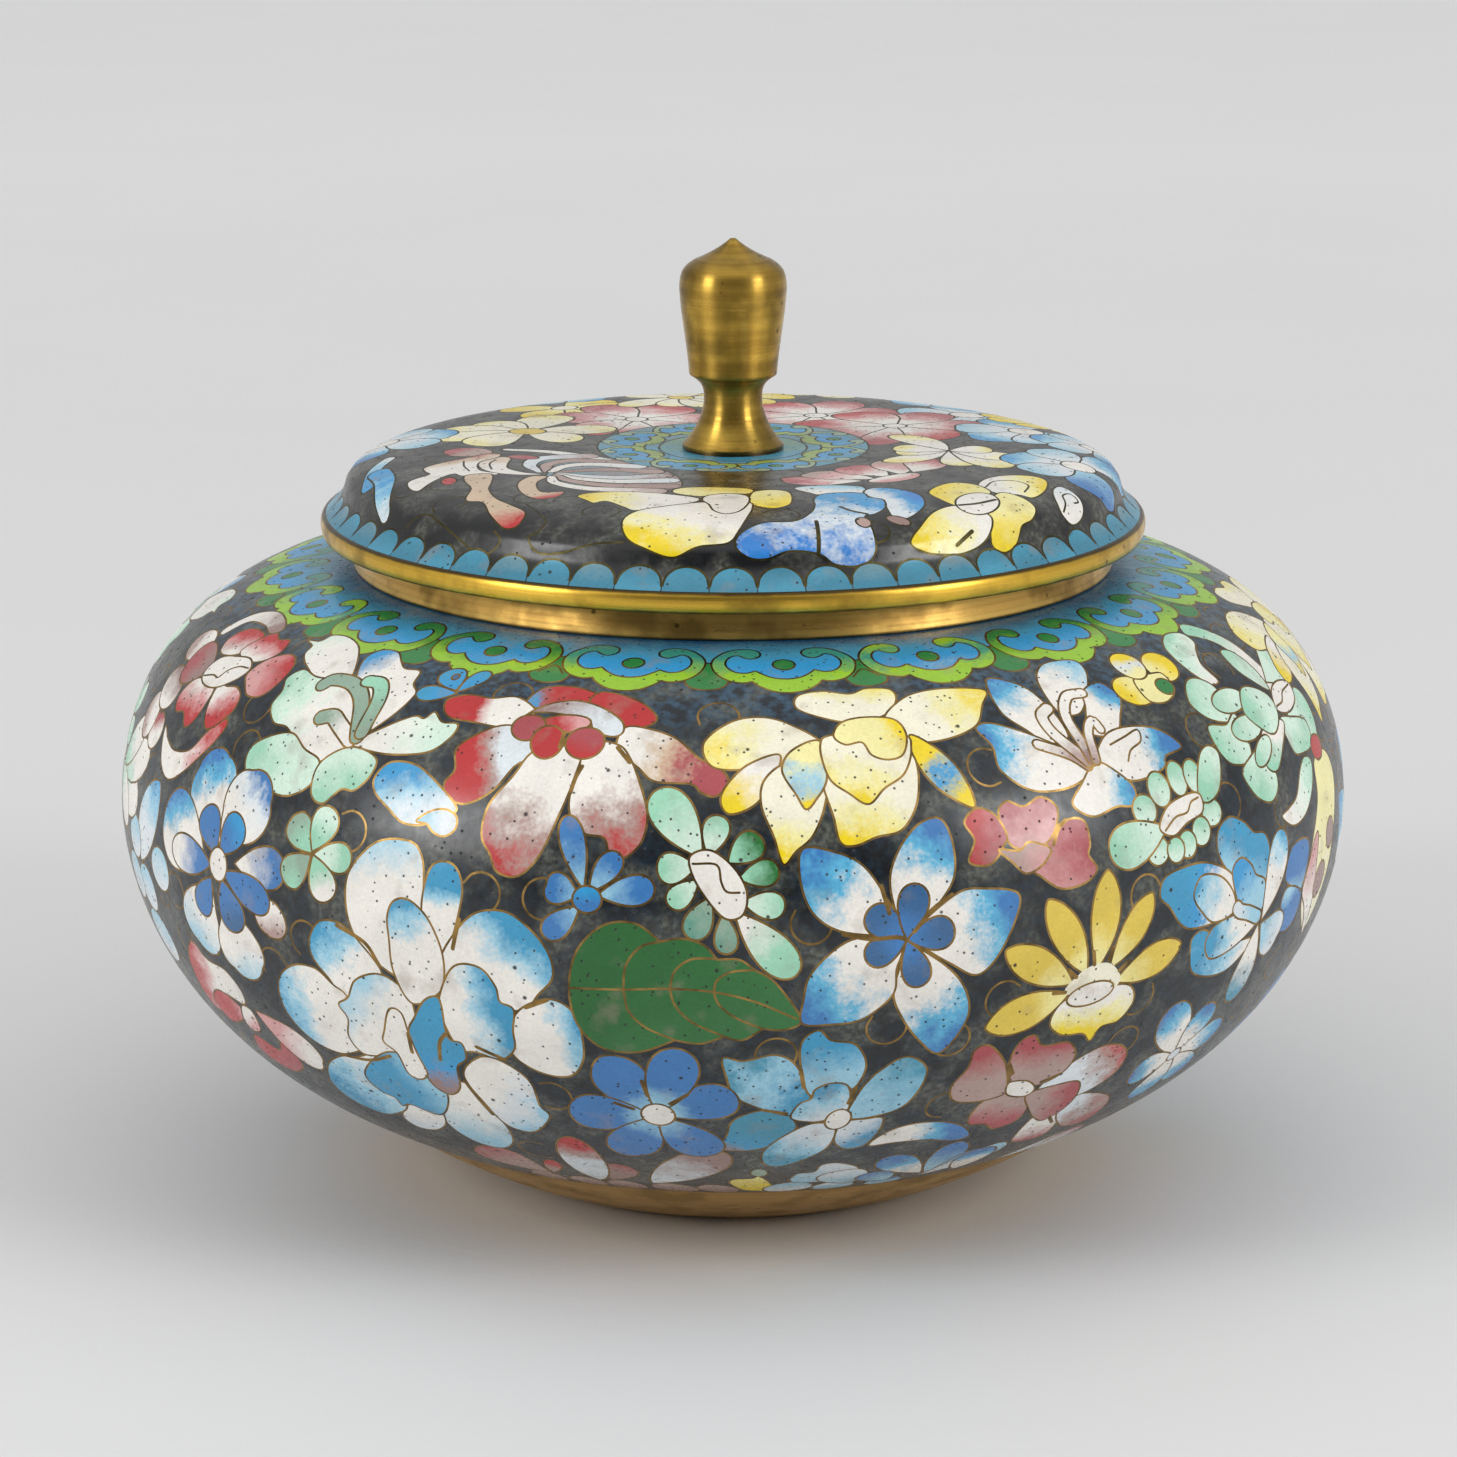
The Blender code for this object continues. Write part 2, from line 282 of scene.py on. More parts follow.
class Surface:
    """An enamelled surface of revolution and the cells drawn on it.

    The drawing is kept on a flat polar map, whose radius is the distance along the surface
    plus the hole in the middle of the map.
    """

    def __init__(self, outline, hole):
        self.hole = hole
        self.radius, self.height = np.array(outline).T
        steps = np.hypot(np.diff(self.radius), np.diff(self.height))
        self.distance = np.concatenate([[0.0], np.cumsum(steps)])
        self.length = self.distance[-1]
        self.cells = []

    def radius_at(self, distance):
        return np.interp(distance, self.distance, self.radius)

    def flat(self, azimuth, distance):
        reach = self.hole + distance
        return np.column_stack([reach * np.sin(azimuth), -reach * np.cos(azimuth)])

    def unflat(self, points):
        azimuth = np.arctan2(points[:, 0], -points[:, 1])
        return azimuth, np.hypot(points[:, 0], points[:, 1]) - self.hole

    def place(self, azimuth, distance):
        """World positions in metres and outward normals."""
        radius = self.radius_at(distance)
        height = np.interp(distance, self.distance, self.height)
        run = np.interp(distance, self.distance, np.gradient(self.radius, self.distance))
        rise = np.interp(distance, self.distance, np.gradient(self.height, self.distance))
        size = np.hypot(run, rise)
        across = np.column_stack([np.sin(azimuth), -np.cos(azimuth)])
        spots = np.column_stack([across * radius[:, None], height]) * MM
        normals = np.column_stack([across * (-rise / size)[:, None], run / size])
        return spots, normals


Cell = namedtuple("Cell", "motif edge fill tint origin along length")


def spline(p0, p1, p2, p3):
    """Points from p1 on, short of p2, of a smooth line that also passes p0 and p3."""
    count = max(2, ceil(hypot(*(p2 - p1)) / OUTLINE_STEP))
    t = np.arange(count)[:, None] / count
    bends = (2 * p0 - 5 * p1 + 4 * p2 - p3) * t ** 2 + (3 * p1 - p0 - 3 * p2 + p3) * t ** 3
    return p1 + 0.5 * ((p2 - p0) * t + bends)


def closed_curve(points):
    """A smooth closed line through the points; a point given twice is a sharp corner."""
    points = np.array(points, float)
    spans = zip(*(np.roll(points, shift, axis=0) for shift in (1, 0, -1, -2)))
    return np.concatenate([spline(*span) for span in spans if hypot(*(span[2] - span[1])) > 1e-6])


def open_curve(points):
    """A smooth line through the points, both ends included."""
    points = np.array(points, float)
    padded = np.vstack([2 * points[0] - points[1], points, 2 * points[-1] - points[-2]])
    spans = zip(padded, padded[1:], padded[2:], padded[3:])
    return np.concatenate([spline(*span) for span in spans] + [points[-1:]])


def closed_loop(corners):
    """Straight lines from corner to corner, in short steps."""
    corners = np.array(corners, float)
    line = []
    for start, end in zip(corners, np.roll(corners, -1, axis=0)):
        count = max(1, ceil(hypot(*(end - start)) / OUTLINE_STEP))
        line.append(start + (end - start) * np.arange(count)[:, None] / count)
    return np.concatenate(line)


def counter_clockwise(outline):
    x, y = outline.T
    area = np.sum(x * np.roll(y, -1) - np.roll(x, -1) * y)
    return outline if area > 0 else outline[::-1]


def grown(outline, width):
    """A counter-clockwise outline moved outwards by the width."""
    along = unit(np.roll(outline, -1, axis=0) - np.roll(outline, 1, axis=0))
    return outline + width * np.column_stack([along[:, 1], -along[:, 0]])


def thickened(line, width, taper=0.0):
    """The outline of a band along a line, with round ends; taper narrows its start."""
    along = unit(np.gradient(line, axis=0))
    across = np.column_stack([-along[:, 1], along[:, 0]])
    half = width / 2 * (1.0 - taper * np.linspace(1.0, 0.0, len(line)))[:, None]
    turns = np.linspace(-pi / 2, pi / 2, 7)[1:-1]
    end_cap = [line[-1] + half[-1] * (cos(a) * along[-1] + sin(a) * across[-1]) for a in turns]
    start_cap = [line[0] - half[0] * (cos(a) * along[0] + sin(a) * across[0]) for a in turns]
    return np.vstack([line - across * half, end_cap, (line + across * half)[::-1], start_cap])


def turned_line(a, b, angle, x, y):
    """The line a, b turned by the angle and moved to x, y."""
    c, s = cos(radians(angle)), sin(radians(angle))
    return np.column_stack([x + a * c - b * s, y + a * s + b * c])


class Motif:
    """A frame of its own on a surface, in which a flower is drawn."""

    def __init__(self, surface, azimuth, distance, turn=0.0, size=1.0, mirrored=False):
        self.surface = surface
        self.azimuth = radians(azimuth)
        self.distance = distance
        self.turn = radians(turn)
        self.size = size
        self.flip = -1.0 if mirrored else 1.0

    def to_surface(self, points):
        """Azimuth and distance of points of the drawing."""
        x = points[:, 0] * self.size * self.flip
        y = points[:, 1] * self.size
        across = x * cos(self.turn) - y * sin(self.turn)
        up = x * sin(self.turn) + y * cos(self.turn)
        distance = np.clip(self.distance - up, 0.02, self.surface.length - 0.02)
        return self.azimuth + across / np.maximum(self.surface.radius_at(distance), 2.0), distance

    def from_surface(self, azimuth, distance):
        """Points of the drawing at places on the surface."""
        around = (azimuth - self.azimuth + pi) % tau - pi
        across = around * np.maximum(self.surface.radius_at(distance), 2.0)
        up = self.distance - distance
        x = across * cos(self.turn) + up * sin(self.turn)
        y = -across * sin(self.turn) + up * cos(self.turn)
        return np.column_stack([x * self.flip, y]) / self.size

    def flat(self, points):
        return self.surface.flat(*self.to_surface(points))

    def outline(self, line, tint, toward=90.0, wire=WIRE):
        """A cell of enamel inside a closed line, with its wire; its tint runs toward an angle."""
        line = counter_clockwise(line)
        ahead = np.array((cos(radians(toward)), sin(radians(toward))))
        reach = line @ ahead
        half_wire = wire / 2 / self.size
        edge = counter_clockwise(self.flat(grown(line, half_wire))) if wire else None
        fill = counter_clockwise(self.flat(grown(line, -half_wire)))
        length = max(reach.max() - reach.min(), 0.1)
        self.surface.cells.append(Cell(self, edge, fill, tint, reach.min(), ahead, length))

    def cell(self, points, tint, toward=90.0, wire=WIRE):
        """A cell whose outline passes smoothly through the points."""
        self.outline(closed_curve(points), tint, toward, wire)

    def petal(self, angle, length, width, tint, x=0.0, y=0.0, root=0.5, tip=0.0, bend=0.0,
              lobes=0, depth=0.5, lean=0.0):
        """A petal from its root at x, y; root and tip say how pointed its ends are."""
        count = max(16, ceil((length + width) * 1.4 / OUTLINE_STEP))
        around = np.linspace(-pi, pi, count, endpoint=False)
        along = 0.5 + 0.5 * np.cos(around)
        half = np.sin(around) * (along ** root * (1.0 - along) ** tip)
        half *= 0.5 * width / np.abs(half).max()
        a = along * length
        b = half
        if lobes:
            reach = radians(115)
            phase = np.clip((around + reach) / (2 * reach), 0.0, 1.0) * lobes * pi
            lift = depth * np.abs(np.sin(phase)) ** 0.8
            a = a + lift * np.cos(around)
            b = b + lift * np.sin(around)
        b = b + bend * length * (along ** 2)
        self.outline(turned_line(a, b, angle, x, y), tint, angle + lean)

    def fan(self, tint, *petals, **shape):
        """Petals of one tint, each by its angle, length, width, x and y."""
        for angle, length, width, *root in petals:
            self.petal(angle, length, width, tint, *root, **shape)

    def oval(self, x, y, width, height, tint, turn=0.0, toward=90.0):
        count = max(14, ceil(1.6 * (width + height) / OUTLINE_STEP))
        around = np.linspace(0.0, tau, count, endpoint=False)
        line = turned_line(np.cos(around) * width / 2, np.sin(around) * height / 2, turn, x, y)
        self.outline(line, tint, toward)

    def ovals(self, tint, *ovals):
        """Ovals of one tint, each by its x, y, width and height."""
        for oval in ovals:
            self.oval(*oval, tint)

    def band(self, points, width, tint, toward=90.0, taper=0.0):
        """A strip of enamel that follows a line."""
        self.outline(thickened(open_curve(points), width, taper), tint, toward)

    def wires(self, *lines, width=WIRE):
        """Bare wires along the lines."""
        for line in lines:
            edge = counter_clockwise(self.flat(thickened(open_curve(line), width / self.size)))
            self.surface.cells.append(Cell(self, edge, None, None, 0.0, None, 1.0))

    def ribs(self, *lines):
        """The doubled wires that part two petals."""
        self.wires(*lines, width=RIB)


# Flowers of the bowl
def red_rose(m):
    blush = shade(WHITE, RED, 0.15, 0.75, PINK)
    m.cell([(-10.3, 3.5), (-8.5, 7.5), (-5, 9.6), (-1, 9.2), (1.5, 7.8), (0.5, 6.4), (-3, 7), (-7, 6.2),
           (-9, 2.8)], shade(WHITE, DUSK, 0.3, 0.8), 0)
    m.cell([(-5.5, -9.8), (-3, -13.5), (0.5, -15), (4.5, -13), (8.3, -9), (9.3, -6.2), (8, -5.6), (6.2, -7.5),
           (4, -10.5), (0, -11.5), (-3, -10.9)], shade(WHITE, RED, 0.35, 0.95, PINK), 25)
    m.oval(-12, 0.2, 6.5, 5, shade(WHITE, MAUVE), 10, 200)
    m.oval(-8.4, -11, 5, 4.6, shade(WHITE, ROSE), 0, 120)
    m.oval(-12.8, -10, 5.5, 6, shade(WHITE, MAUVE), 0, 200)
    m.oval(-10.4, -5.8, 7, 5.6, shade(DUSK, WHITE, 0.2, 0.8), -15, 260)
    m.petal(183, 8.5, 6.4, shade(DUSK, ROSE), -2.6, -1.2)
    m.cell([(-5, 1.2), (-6.3, 3.2), (-4.8, 5.5), (-2, 6.2), (0.2, 5.6), (0, 2.5), (-2.5, 1.2)], blush, 110)
    m.cell([(-0.5, 2.5), (0.2, 5.5), (1.5, 7), (3.5, 6.3), (5.5, 6.8), (6.8, 4.8), (5.8, 2.8), (3, 1.8)],
           blush, 85)
    m.cell([(5.5, 0.5), (6.3, 3.3), (9, 5), (11.5, 3.8), (12.5, 1), (11.5, -1.5), (9, -2), (6.8, -0.8)],
           shade(PINK, RED, 0.3, 0.9), 35)
    m.cell([(1.8, -2.2), (3, -5.5), (5, -7.5), (7, -6.8), (8.6, -4.5), (8, -2.5), (6, -1.6), (3.8, -2)],
           blush, -55)
    m.cell([(-4.5, -3), (-6.2, -5.8), (-4.8, -7.6), (-2.3, -7.2), (0, -8.6), (1.8, -7), (1.8, -3.6),
           (0, -2.4)], blush, -95)
    m.cell([(-4, -0.8), (-2.8, 0.9), (0, 1.8), (3, 2.3), (5, 1.2), (4.6, -0.6), (2, -2.6), (-1, -3.2),
           (-3.5, -2.6)], plain(WHITE))
    m.wires([(-3.4, -2.3), (-1.2, -1.6), (0.3, -1.6), (1, -0.3), (2.6, 0.8), (4.6, 1.1)])


def mint_magnolia(m):
    m.cell([(-3, 3.5), (-6, 8), (-9.5, 9.6), (-12.4, 9.2), (-13.2, 7.6), (-15.4, 7), (-13.6, 6.4), (-13.4, 5),
           (-12, 3.8), (-9, 2.4), (-5, 1)], shade(WHITE, PALE_MINT, 0.6, 1.0), 140)
    m.cell([(-2.5, 4), (-3.8, 7), (-2.8, 9), (-0.5, 9.2), (1.5, 7.6), (3, 6.6), (5.2, 6.6), (6, 4.4),
           (7.4, 3), (7, 0.2), (5.5, -2.5), (3.6, -4.4), (1, -0.5)], shade(WHITE, AZURE, 0.64, 0.92), 150)
    m.cell([(-3.5, 2.6), (-8, 2.3), (-11, 2.8), (-12.6, 1), (-11.8, -0.8), (-12, -3), (-10, -4.8),
           (-7.5, -4.9), (-5, -6.2), (-2.5, -7.8), (0.2, -7.8), (3.6, -5), (1, 0)],
           shade(WHITE, MINT, 0.45, 1.0, PALE_MINT), 175)
    m.cell([(3.4, -5.1), (6.4, -2.4), (9.4, -0.2), (10.9, -0.3), (11.6, 0.8), (13.4, -0.4), (15.4, -0.4),
           (15.6, -2.2), (13.9, -4.4), (9.4, -5.4), (5.4, -5.4)], shade(WHITE, PALE_MINT, 0.2, 0.9), 20)
    m.cell([(0, -7.8), (-3, -6.8), (-6, -5.4), (-9.5, -6.5), (-12, -8.5), (-11.5, -11), (-8.5, -12.2),
           (-6.5, -11.6), (-5.3, -12.6), (-2.5, -12.3), (0, -10.5)], shade(PALE_MINT, MINT, 0.4, 1.0), 190)
    m.cell([(0.2, -8), (3.5, -5.4), (7.5, -6), (8, -8), (6.5, -10.2), (4.6, -10.4), (2.5, -12.4),
           (0.4, -11.5)], shade(PALE_MINT, MINT, 0.2, 0.9), -70)
    m.band([(3, -4.6), (0.2, -3), (-1.4, -2.2), (-3, -2.7)], 2.0, shade(WHITE, SAGE), 180)
    m.band([(3.7, -4), (1.2, 0.5), (-1.8, 2.6), (-5, 2.6), (-6.1, 1.5)], 2.0, plain(SAGE))
    m.band([(4, -3.4), (3.4, 1), (1.8, 3.4), (-0.2, 3.5)], 1.9, shade(SAGE, MINT), 90)


def blue_bud(m):
    sky = shade(AZURE, CERULEAN)
    m.fan(sky, (65, 4.6, 2.3, 2.2, -0.4), (190, 5.2, 2.5, 2.4, -0.6), (130, 4.4, 3.4, 2.0, -0.2))
    m.oval(0.6, 2, 0.9, 1.1, plain(SLATE))


def red_poppy(m):
    dipped = shade(WHITE, RED, 0.42, 1.0, MAUVE)
    m.cell([(-7.2, 5.2), (-6, 7.4), (-3.5, 8.2), (-0.8, 7.8), (1, 6.6), (-1, 4.6), (-4, 4), (-6.5, 4.4)],
           shade(AZURE, RED, 0.1, 0.4, ROSE), 10)
    m.cell([(0, 6.3), (1, 7.6), (3.5, 7.2), (6, 6), (8, 4), (7.8, 2.8), (5.5, 2), (3, 3.4), (0.5, 5)],
           plain(RED))
    m.cell([(-17, 3.8), (-16.2, 1.6), (-12.5, 1.2), (-9, 1), (-6.6, 2), (-5.8, 3.8), (-8.5, 5.6), (-11.5, 5),
           (-14.5, 5.1)], shade(RED, WHITE, 0.38, 0.52), 0)
    m.cell([(4.6, -0.8), (5, 2.2), (8, 2), (11, 0.8), (13.8, -1.6), (16.5, -3), (17.6, -4.6), (16.5, -6.2),
           (14.8, -5.8), (13.5, -4.8), (9.5, -4.6), (7.4, -3)], shade(WHITE, ROSE, 0.2, 0.7, TAN), -20)
    m.cell([(-4.4, -2), (-7, 1), (-9.5, 1.1), (-12.5, -0.8), (-14, -2.6), (-13.6, -5), (-14.6, -6.6),
           (-14, -8.2), (-11.5, -8.7), (-8.5, -6.8), (-6.5, -3.8)], shade(PALE, RED, 0.35, 0.62, MAUVE), 190)
    m.cell([(-4.4, -1.6), (-6.5, -5), (-8.8, -8.6), (-9.2, -12), (-8, -14), (-7, -15.8), (-4.5, -16),
           (-2.2, -13.5), (-0.5, -9), (0.5, -5), (0.5, -1)], dipped, 248)
    m.cell([(0.9, -3.4), (0.4, -6.5), (0.8, -9), (2.5, -10.8), (4.8, -11.2), (5.6, -12.8), (7.2, -13.3),
           (9, -11.5), (9.3, -8.5), (8, -5), (6.4, -2), (4.6, -0.2), (1, 0)], dipped, -70)
    m.cell([(-7.6, 1.8), (-6, 3.4), (-3, 3.6), (0.5, 3), (1.5, 1.6), (3.6, 0.8), (4.8, 1.4), (4.4, 3),
           (2, 4.8), (-1, 5.8), (-3.5, 5.4), (-5.8, 4)], shade(DUSK, PALE, 0.2, 0.8), 0)
    m.oval(-2, 2.2, 6, 2.6, shade(RED, PINK), 8, 20)
    m.oval(-6, 1.3, 4, 3.6, plain(ROSE), 20)
    m.oval(-3.4, -0.4, 3.8, 4.4, plain(RED))
    m.oval(0.9, -0.2, 4.4, 4.2, shade(ROSE, RED), 0, -90)
    m.ribs([(-1.8, -1), (-1.7, 1)], [(0.4, -6.4), (0.7, -4.6), (1.2, -3.2)], [(4.7, -0.6), (6.4, -2.4)])


def blue_butterfly(m):
    m.cell([(-5, 1.5), (-3.5, 3.5), (0, 3.6), (4, 1.4), (6.5, -0.8), (4.4, -2), (2.5, -3), (0, -3),
           (-2, -1.8), (-4.4, -0.2)], shade(AZURE, PALE, 0.2, 0.8, SKY), -75)
    m.cell([(1.8, -2.6), (3.4, -1.3), (5.2, -0.9), (6.7, -1.6), (6.8, -3), (5.6, -3.9), (4.2, -3.6),
           (3.2, -2.8)], shade(PALE, SKY), 180)


def blue_rose(m):
    edged = shade(WHITE, COBALT, 0.5, 0.95, CYAN)
    m.petal(115, 11.5, 8.6, edged, -0.2, 1.5, root=0.3, lobes=3)
    m.petal(57, 10.5, 8, shade(WHITE, COBALT, 0.45, 0.9, PALE), 0.8, 2, root=0.35, lobes=3)
    m.petal(170, 11, 9.6, edged, -3, 0.6, root=0.3, lean=-55)
    m.petal(237, 10.5, 7.6, shade(WHITE, SKY, 0.5, 1.0), -1, -2.5, lobes=2)
    m.petal(-77, 9.5, 8, shade(WHITE, SKY, 0.6, 1.0), 1.8, -4, lobes=3)
    m.oval(10, -4.6, 5.6, 4.6, shade(WHITE, MAUVE), -20, -90)
    m.petal(6, 9, 5, shade(WHITE, COBALT, 0.3, 0.8), 3.6, 0.6)
    m.petal(180, 9.5, 4.6, shade(COBALT, WHITE, 0.35, 0.8), -1.4, -0.6, root=0.3)
    m.petal(235, 6, 3.8, plain(COBALT), -1, -2)
    m.petal(-65, 6.4, 5, shade(COBALT, SLATE), 1, -1.8)
    m.fan(plain(COBALT), (-15, 9.2, 4.2, 1.2, -0.8), (122, 6, 4.6, -0.2, 0.8))
    m.petal(55, 6, 4.4, shade(COBALT, AZURE), 0.6, 1)
    m.oval(0.3, -0.2, 3.6, 4, plain(WHITE))


def mint_clover(m):
    m.petal(137, 5.2, 4.1, shade(MINT, SAGE), -0.2, -0.8)
    m.petal(70, 5.6, 4, shade(MINT, PALE_MINT), -0.2, -0.6)
    m.petal(2, 5.6, 3.5, shade(PALE_MINT, MINT), 0.1, -0.8)
    m.petal(-60, 5.6, 4, shade(MINT, WHITE), 0, -0.9)
    m.petal(222, 5.4, 3.9, shade(SAGE, MINT), -0.3, -1)


def peony(m):
    m.cell([(-2.5, -11), (0.8, -9.5), (2.2, -13), (3.3, -17.5), (2.5, -21.5), (0, -24), (-3, -23.5),
           (-5, -20), (-5, -15)], shade(WHITE, SKY, 0.3, 0.9), -90)
    m.cell([(-5, -15), (-9, -16), (-12, -20), (-11, -22.5), (-8, -22), (-5.3, -19)], shade(WHITE, PALE), -90)
    m.cell([(-8.5, -7), (-13.8, -8.6), (-17, -9.5), (-20, -12), (-21.5, -16), (-20, -19.5), (-16, -21),
           (-12.5, -19.5), (-9.5, -16)], shade(WHITE, CERULEAN, 0.25, 0.9, SKY), 215)
    m.cell([(1, -8), (4, -4.8), (7, -5.4), (9.2, -8), (9.2, -12), (9.8, -13.8), (8, -16.5), (6, -18),
           (3.5, -17), (2.2, -13)], shade(WHITE, SKY, 0.35, 0.95, PALE), -40)
    m.cell([(-1.5, 11), (-1.3, 17), (-2.5, 19.8), (-5, 20.3), (-8, 19.5), (-10.5, 17), (-11.6, 14.5),
           (-11.2, 10.5), (-9.5, 7.5), (-7, 5.5), (-4, 5)], shade(WHITE, SKY, 0.72, 1.0), 100)
    m.cell([(-1.3, 12.5), (-0.8, 17), (0.5, 18.5), (2.5, 18.2), (3.6, 16), (3.2, 12.5), (2, 9), (0.2, 8.5)],
           shade(WHITE, CERULEAN, 0.5, 0.72, SKY), 90)
    m.cell([(-7, 4.8), (-10, 8.2), (-12.5, 9.7), (-15.5, 9.4), (-17.2, 7), (-17, 4.8), (-15, 2.6), (-13, 0.6),
           (-8, 2)], shade(WHITE, CERULEAN, 0.4, 0.9, SKY), 130)
    m.cell([(-12.5, 0.2), (-14.5, 1.8), (-17, 3.4), (-20.5, 3), (-23.5, 0.5), (-24, -3.5), (-22, -6.8),
           (-19, -8.5), (-15.5, -8.6), (-12, -6)], shade(WHITE, CERULEAN, 0.5, 1.0, SKY), 185)
    m.cell([(0.8, 7), (3, 11), (5.5, 13.4), (9, 13.8), (12, 12), (14, 9.5), (14.3, 6.8), (12.5, 4.6),
           (10.4, 2.4), (6, 2.5), (2, 4)], shade(WHITE, CERULEAN, 0.52, 0.85, SKY), 55)
    m.cell([(9.8, 2.2), (13.5, 4.1), (16, 3), (16.8, 0.2), (16.4, -3.5), (14.5, -6.2), (11.5, -6.4),
           (8.6, -4.6), (8, -2)], shade(WHITE, CERULEAN, 0.6, 1.05, SKY), 10)
    m.cell([(-3.4, 1.6), (-5.5, 3.9), (-8, 4.4), (-11, 3), (-12.5, 0.5), (-14.2, -0.8), (-13.3, -2.6),
           (-14, -5.5), (-12.5, -7.8), (-8.8, -7.2), (-4, -6)], shade(WHITE, SKY, 0.55, 1.0), 140)
    m.cell([(-8.8, -6.6), (-12, -9), (-14, -12), (-12.8, -14.6), (-11, -15.4), (-10.6, -17), (-9, -16.2),
           (-5.5, -17.3), (-3.2, -14.5), (-2.4, -11), (-4, -8), (-6, -6.6)], shade(SKY, CERULEAN, 0.1, 0.5),
           200)
    m.cell([(-5.6, 9), (-5.8, 11.5), (-5, 13.4), (-3, 13.8), (-0.5, 12), (1.2, 8.5), (1.2, 5), (0, 3),
           (-3.4, 1.4), (-5.3, 5)], shade(WHITE, CERULEAN, 0.6, 0.9, SKY), 105)
    m.cell([(0.2, 2.4), (1.8, 6), (3.5, 7.3), (6, 7), (7.5, 5), (7.8, 3.2), (9.3, 2.4), (8.8, -0.5),
           (8.5, -3), (6.5, -4.8), (3.6, -4.2), (1.5, -4), (0.2, 0)], shade(WHITE, CERULEAN, 0.3, 0.85, SKY),
           10)
    m.cell([(-0.2, 2.8), (-1.8, 2), (-3.5, -0.5), (-4.8, -3), (-4.4, -8), (-3.8, -11), (-2, -12.2),
           (-0.2, -10.5), (0.5, -7), (2, -5.5), (2, -3.2), (0.4, -2.6), (0.4, 1.8)],
           shade(DUSK, CERULEAN, 0.1, 0.45, AZURE), 85)
    m.cell([(-6.8, 0), (-5.2, -0.2), (-4.8, -3), (-4.4, -6), (-4, -9), (-5.4, -10.3), (-6.8, -9.6),
           (-7.3, -6.5), (-8.8, -5), (-8.2, -3.2)], plain(WHITE))
    m.ribs([(-1.5, -6.2), (-0.9, -3.6), (0.1, -2.2)], [(-5.1, -5.8), (-4.9, -3)], [(3.8, -3.4), (7, -4.8)],
           [(-16.5, -9), (-12, -8.7), (-8.6, -7.2)], [(0.8, -9.2), (2.4, -15)], [(-12.9, 9.4), (-9, 8),
           (-7.2, 5.6)], [(2.6, 9), (3.4, 12.4)], [(10.8, 2.8), (13.4, 4)])


def blue_sprig(m):
    deep = shade(SKY, COBALT, 0.0, 0.7)
    m.fan(deep, (107, 8.4, 2.9, -0.6, 1), (55, 5.4, 2.8, 0, 0.8), (10, 6.4, 3.4, 0.9, 0.5))
    m.petal(165, 4, 3, deep, -1, 0.3, lobes=2, depth=0.3)
    m.petal(222, 5.4, 2.9, deep, -1, -0.8)
    m.oval(-0.2, 0, 3.3, 3, shade(COBALT, AZURE))


def mint_daisy(m):
    mint = shade(PALE_MINT, MINT, 0.3, 0.9)
    dark = shade(MINT, MOSS, 0.2, 0.9)
    m.petal(124, 9.2, 4.9, shade(PALE_MINT, MINT, 0.2, 0.8), -1.8, 3)
    m.fan(mint, (75, 4.8, 3, -1.2, 3.2), (185, 4.4, 3.5, -2.4, 2.2), (222, 4.4, 2.7, -2.2, 0.8))
    m.fan(shade(SAGE, TEAL, 0.2, 1.2), (245, 5.2, 3.1, -0.9, -1), (275, 4.6, 2.6, 0.5, -2.8))
    m.fan(dark, (38, 4.6, 3.4, 0.9, 2.6), (12, 4.6, 3, 2, 0.9))
    m.petal(-8, 4.8, 3.1, mint, 2.4, -1.6)
    m.petal(-47, 10, 4.3, shade(WHITE, MINT, 0.2, 0.7), 1.6, -2.6)
    m.cell([(-3.2, 3.3), (-1, 4), (1.5, 2.2), (3, -0.5), (2.6, -3), (0.8, -3.5), (-1, -1.8), (-2.8, 1)],
           plain(WHITE))
    m.wires([(-2.9, 2.5), (-0.3, 2.4), (0.2, 0.6), (0.8, -0.5), (2.2, -0.6)])


def green_leaf(m):
    green = shade(LEAF, MOSS)
    m.cell([(-11, -1), (-10, 3.5), (-7, 6.5), (-3.5, 6.8), (-0.8, 4.9), (-0.8, 4.9), (1.6, 5.3), (4, 4.6),
           (5.4, 3), (5.4, 3), (7.8, 3), (9.5, 1.8), (9.5, 1.8), (11.8, 0.2), (14.5, -4.3), (12.6, -5.6),
           (10.3, -5.4), (10.3, -5.4), (8, -6.9), (6, -6.4), (6, -6.4), (3.4, -7.4), (0.6, -7), (0.6, -7),
           (-3.5, -8.8), (-7.5, -8.5), (-10.2, -5.5)], green, -60)
    m.wires([(-11, -1), (-5, -0.8), (0, -0.5), (5, -0.8), (9.5, -2), (14, -4.2)], [(-0.6, 5), (-3, 4.2),
            (-4.6, 2), (-4.9, -0.8)], [(5.4, 3.1), (2.6, 3), (0.8, 1.6), (0.2, -0.5)], [(9.5, 1.8), (7, 1.6),
            (5.4, 0.6), (5, -0.8)], [(0.6, -7), (-2.6, -5.4), (-4.4, -3.4), (-4.9, -0.8)], [(6, -6.4),
            (2.6, -4.6), (0.8, -2.6), (0.2, -0.5)], [(10.2, -5.4), (7.4, -4), (5.6, -2.4), (5, -0.8)])


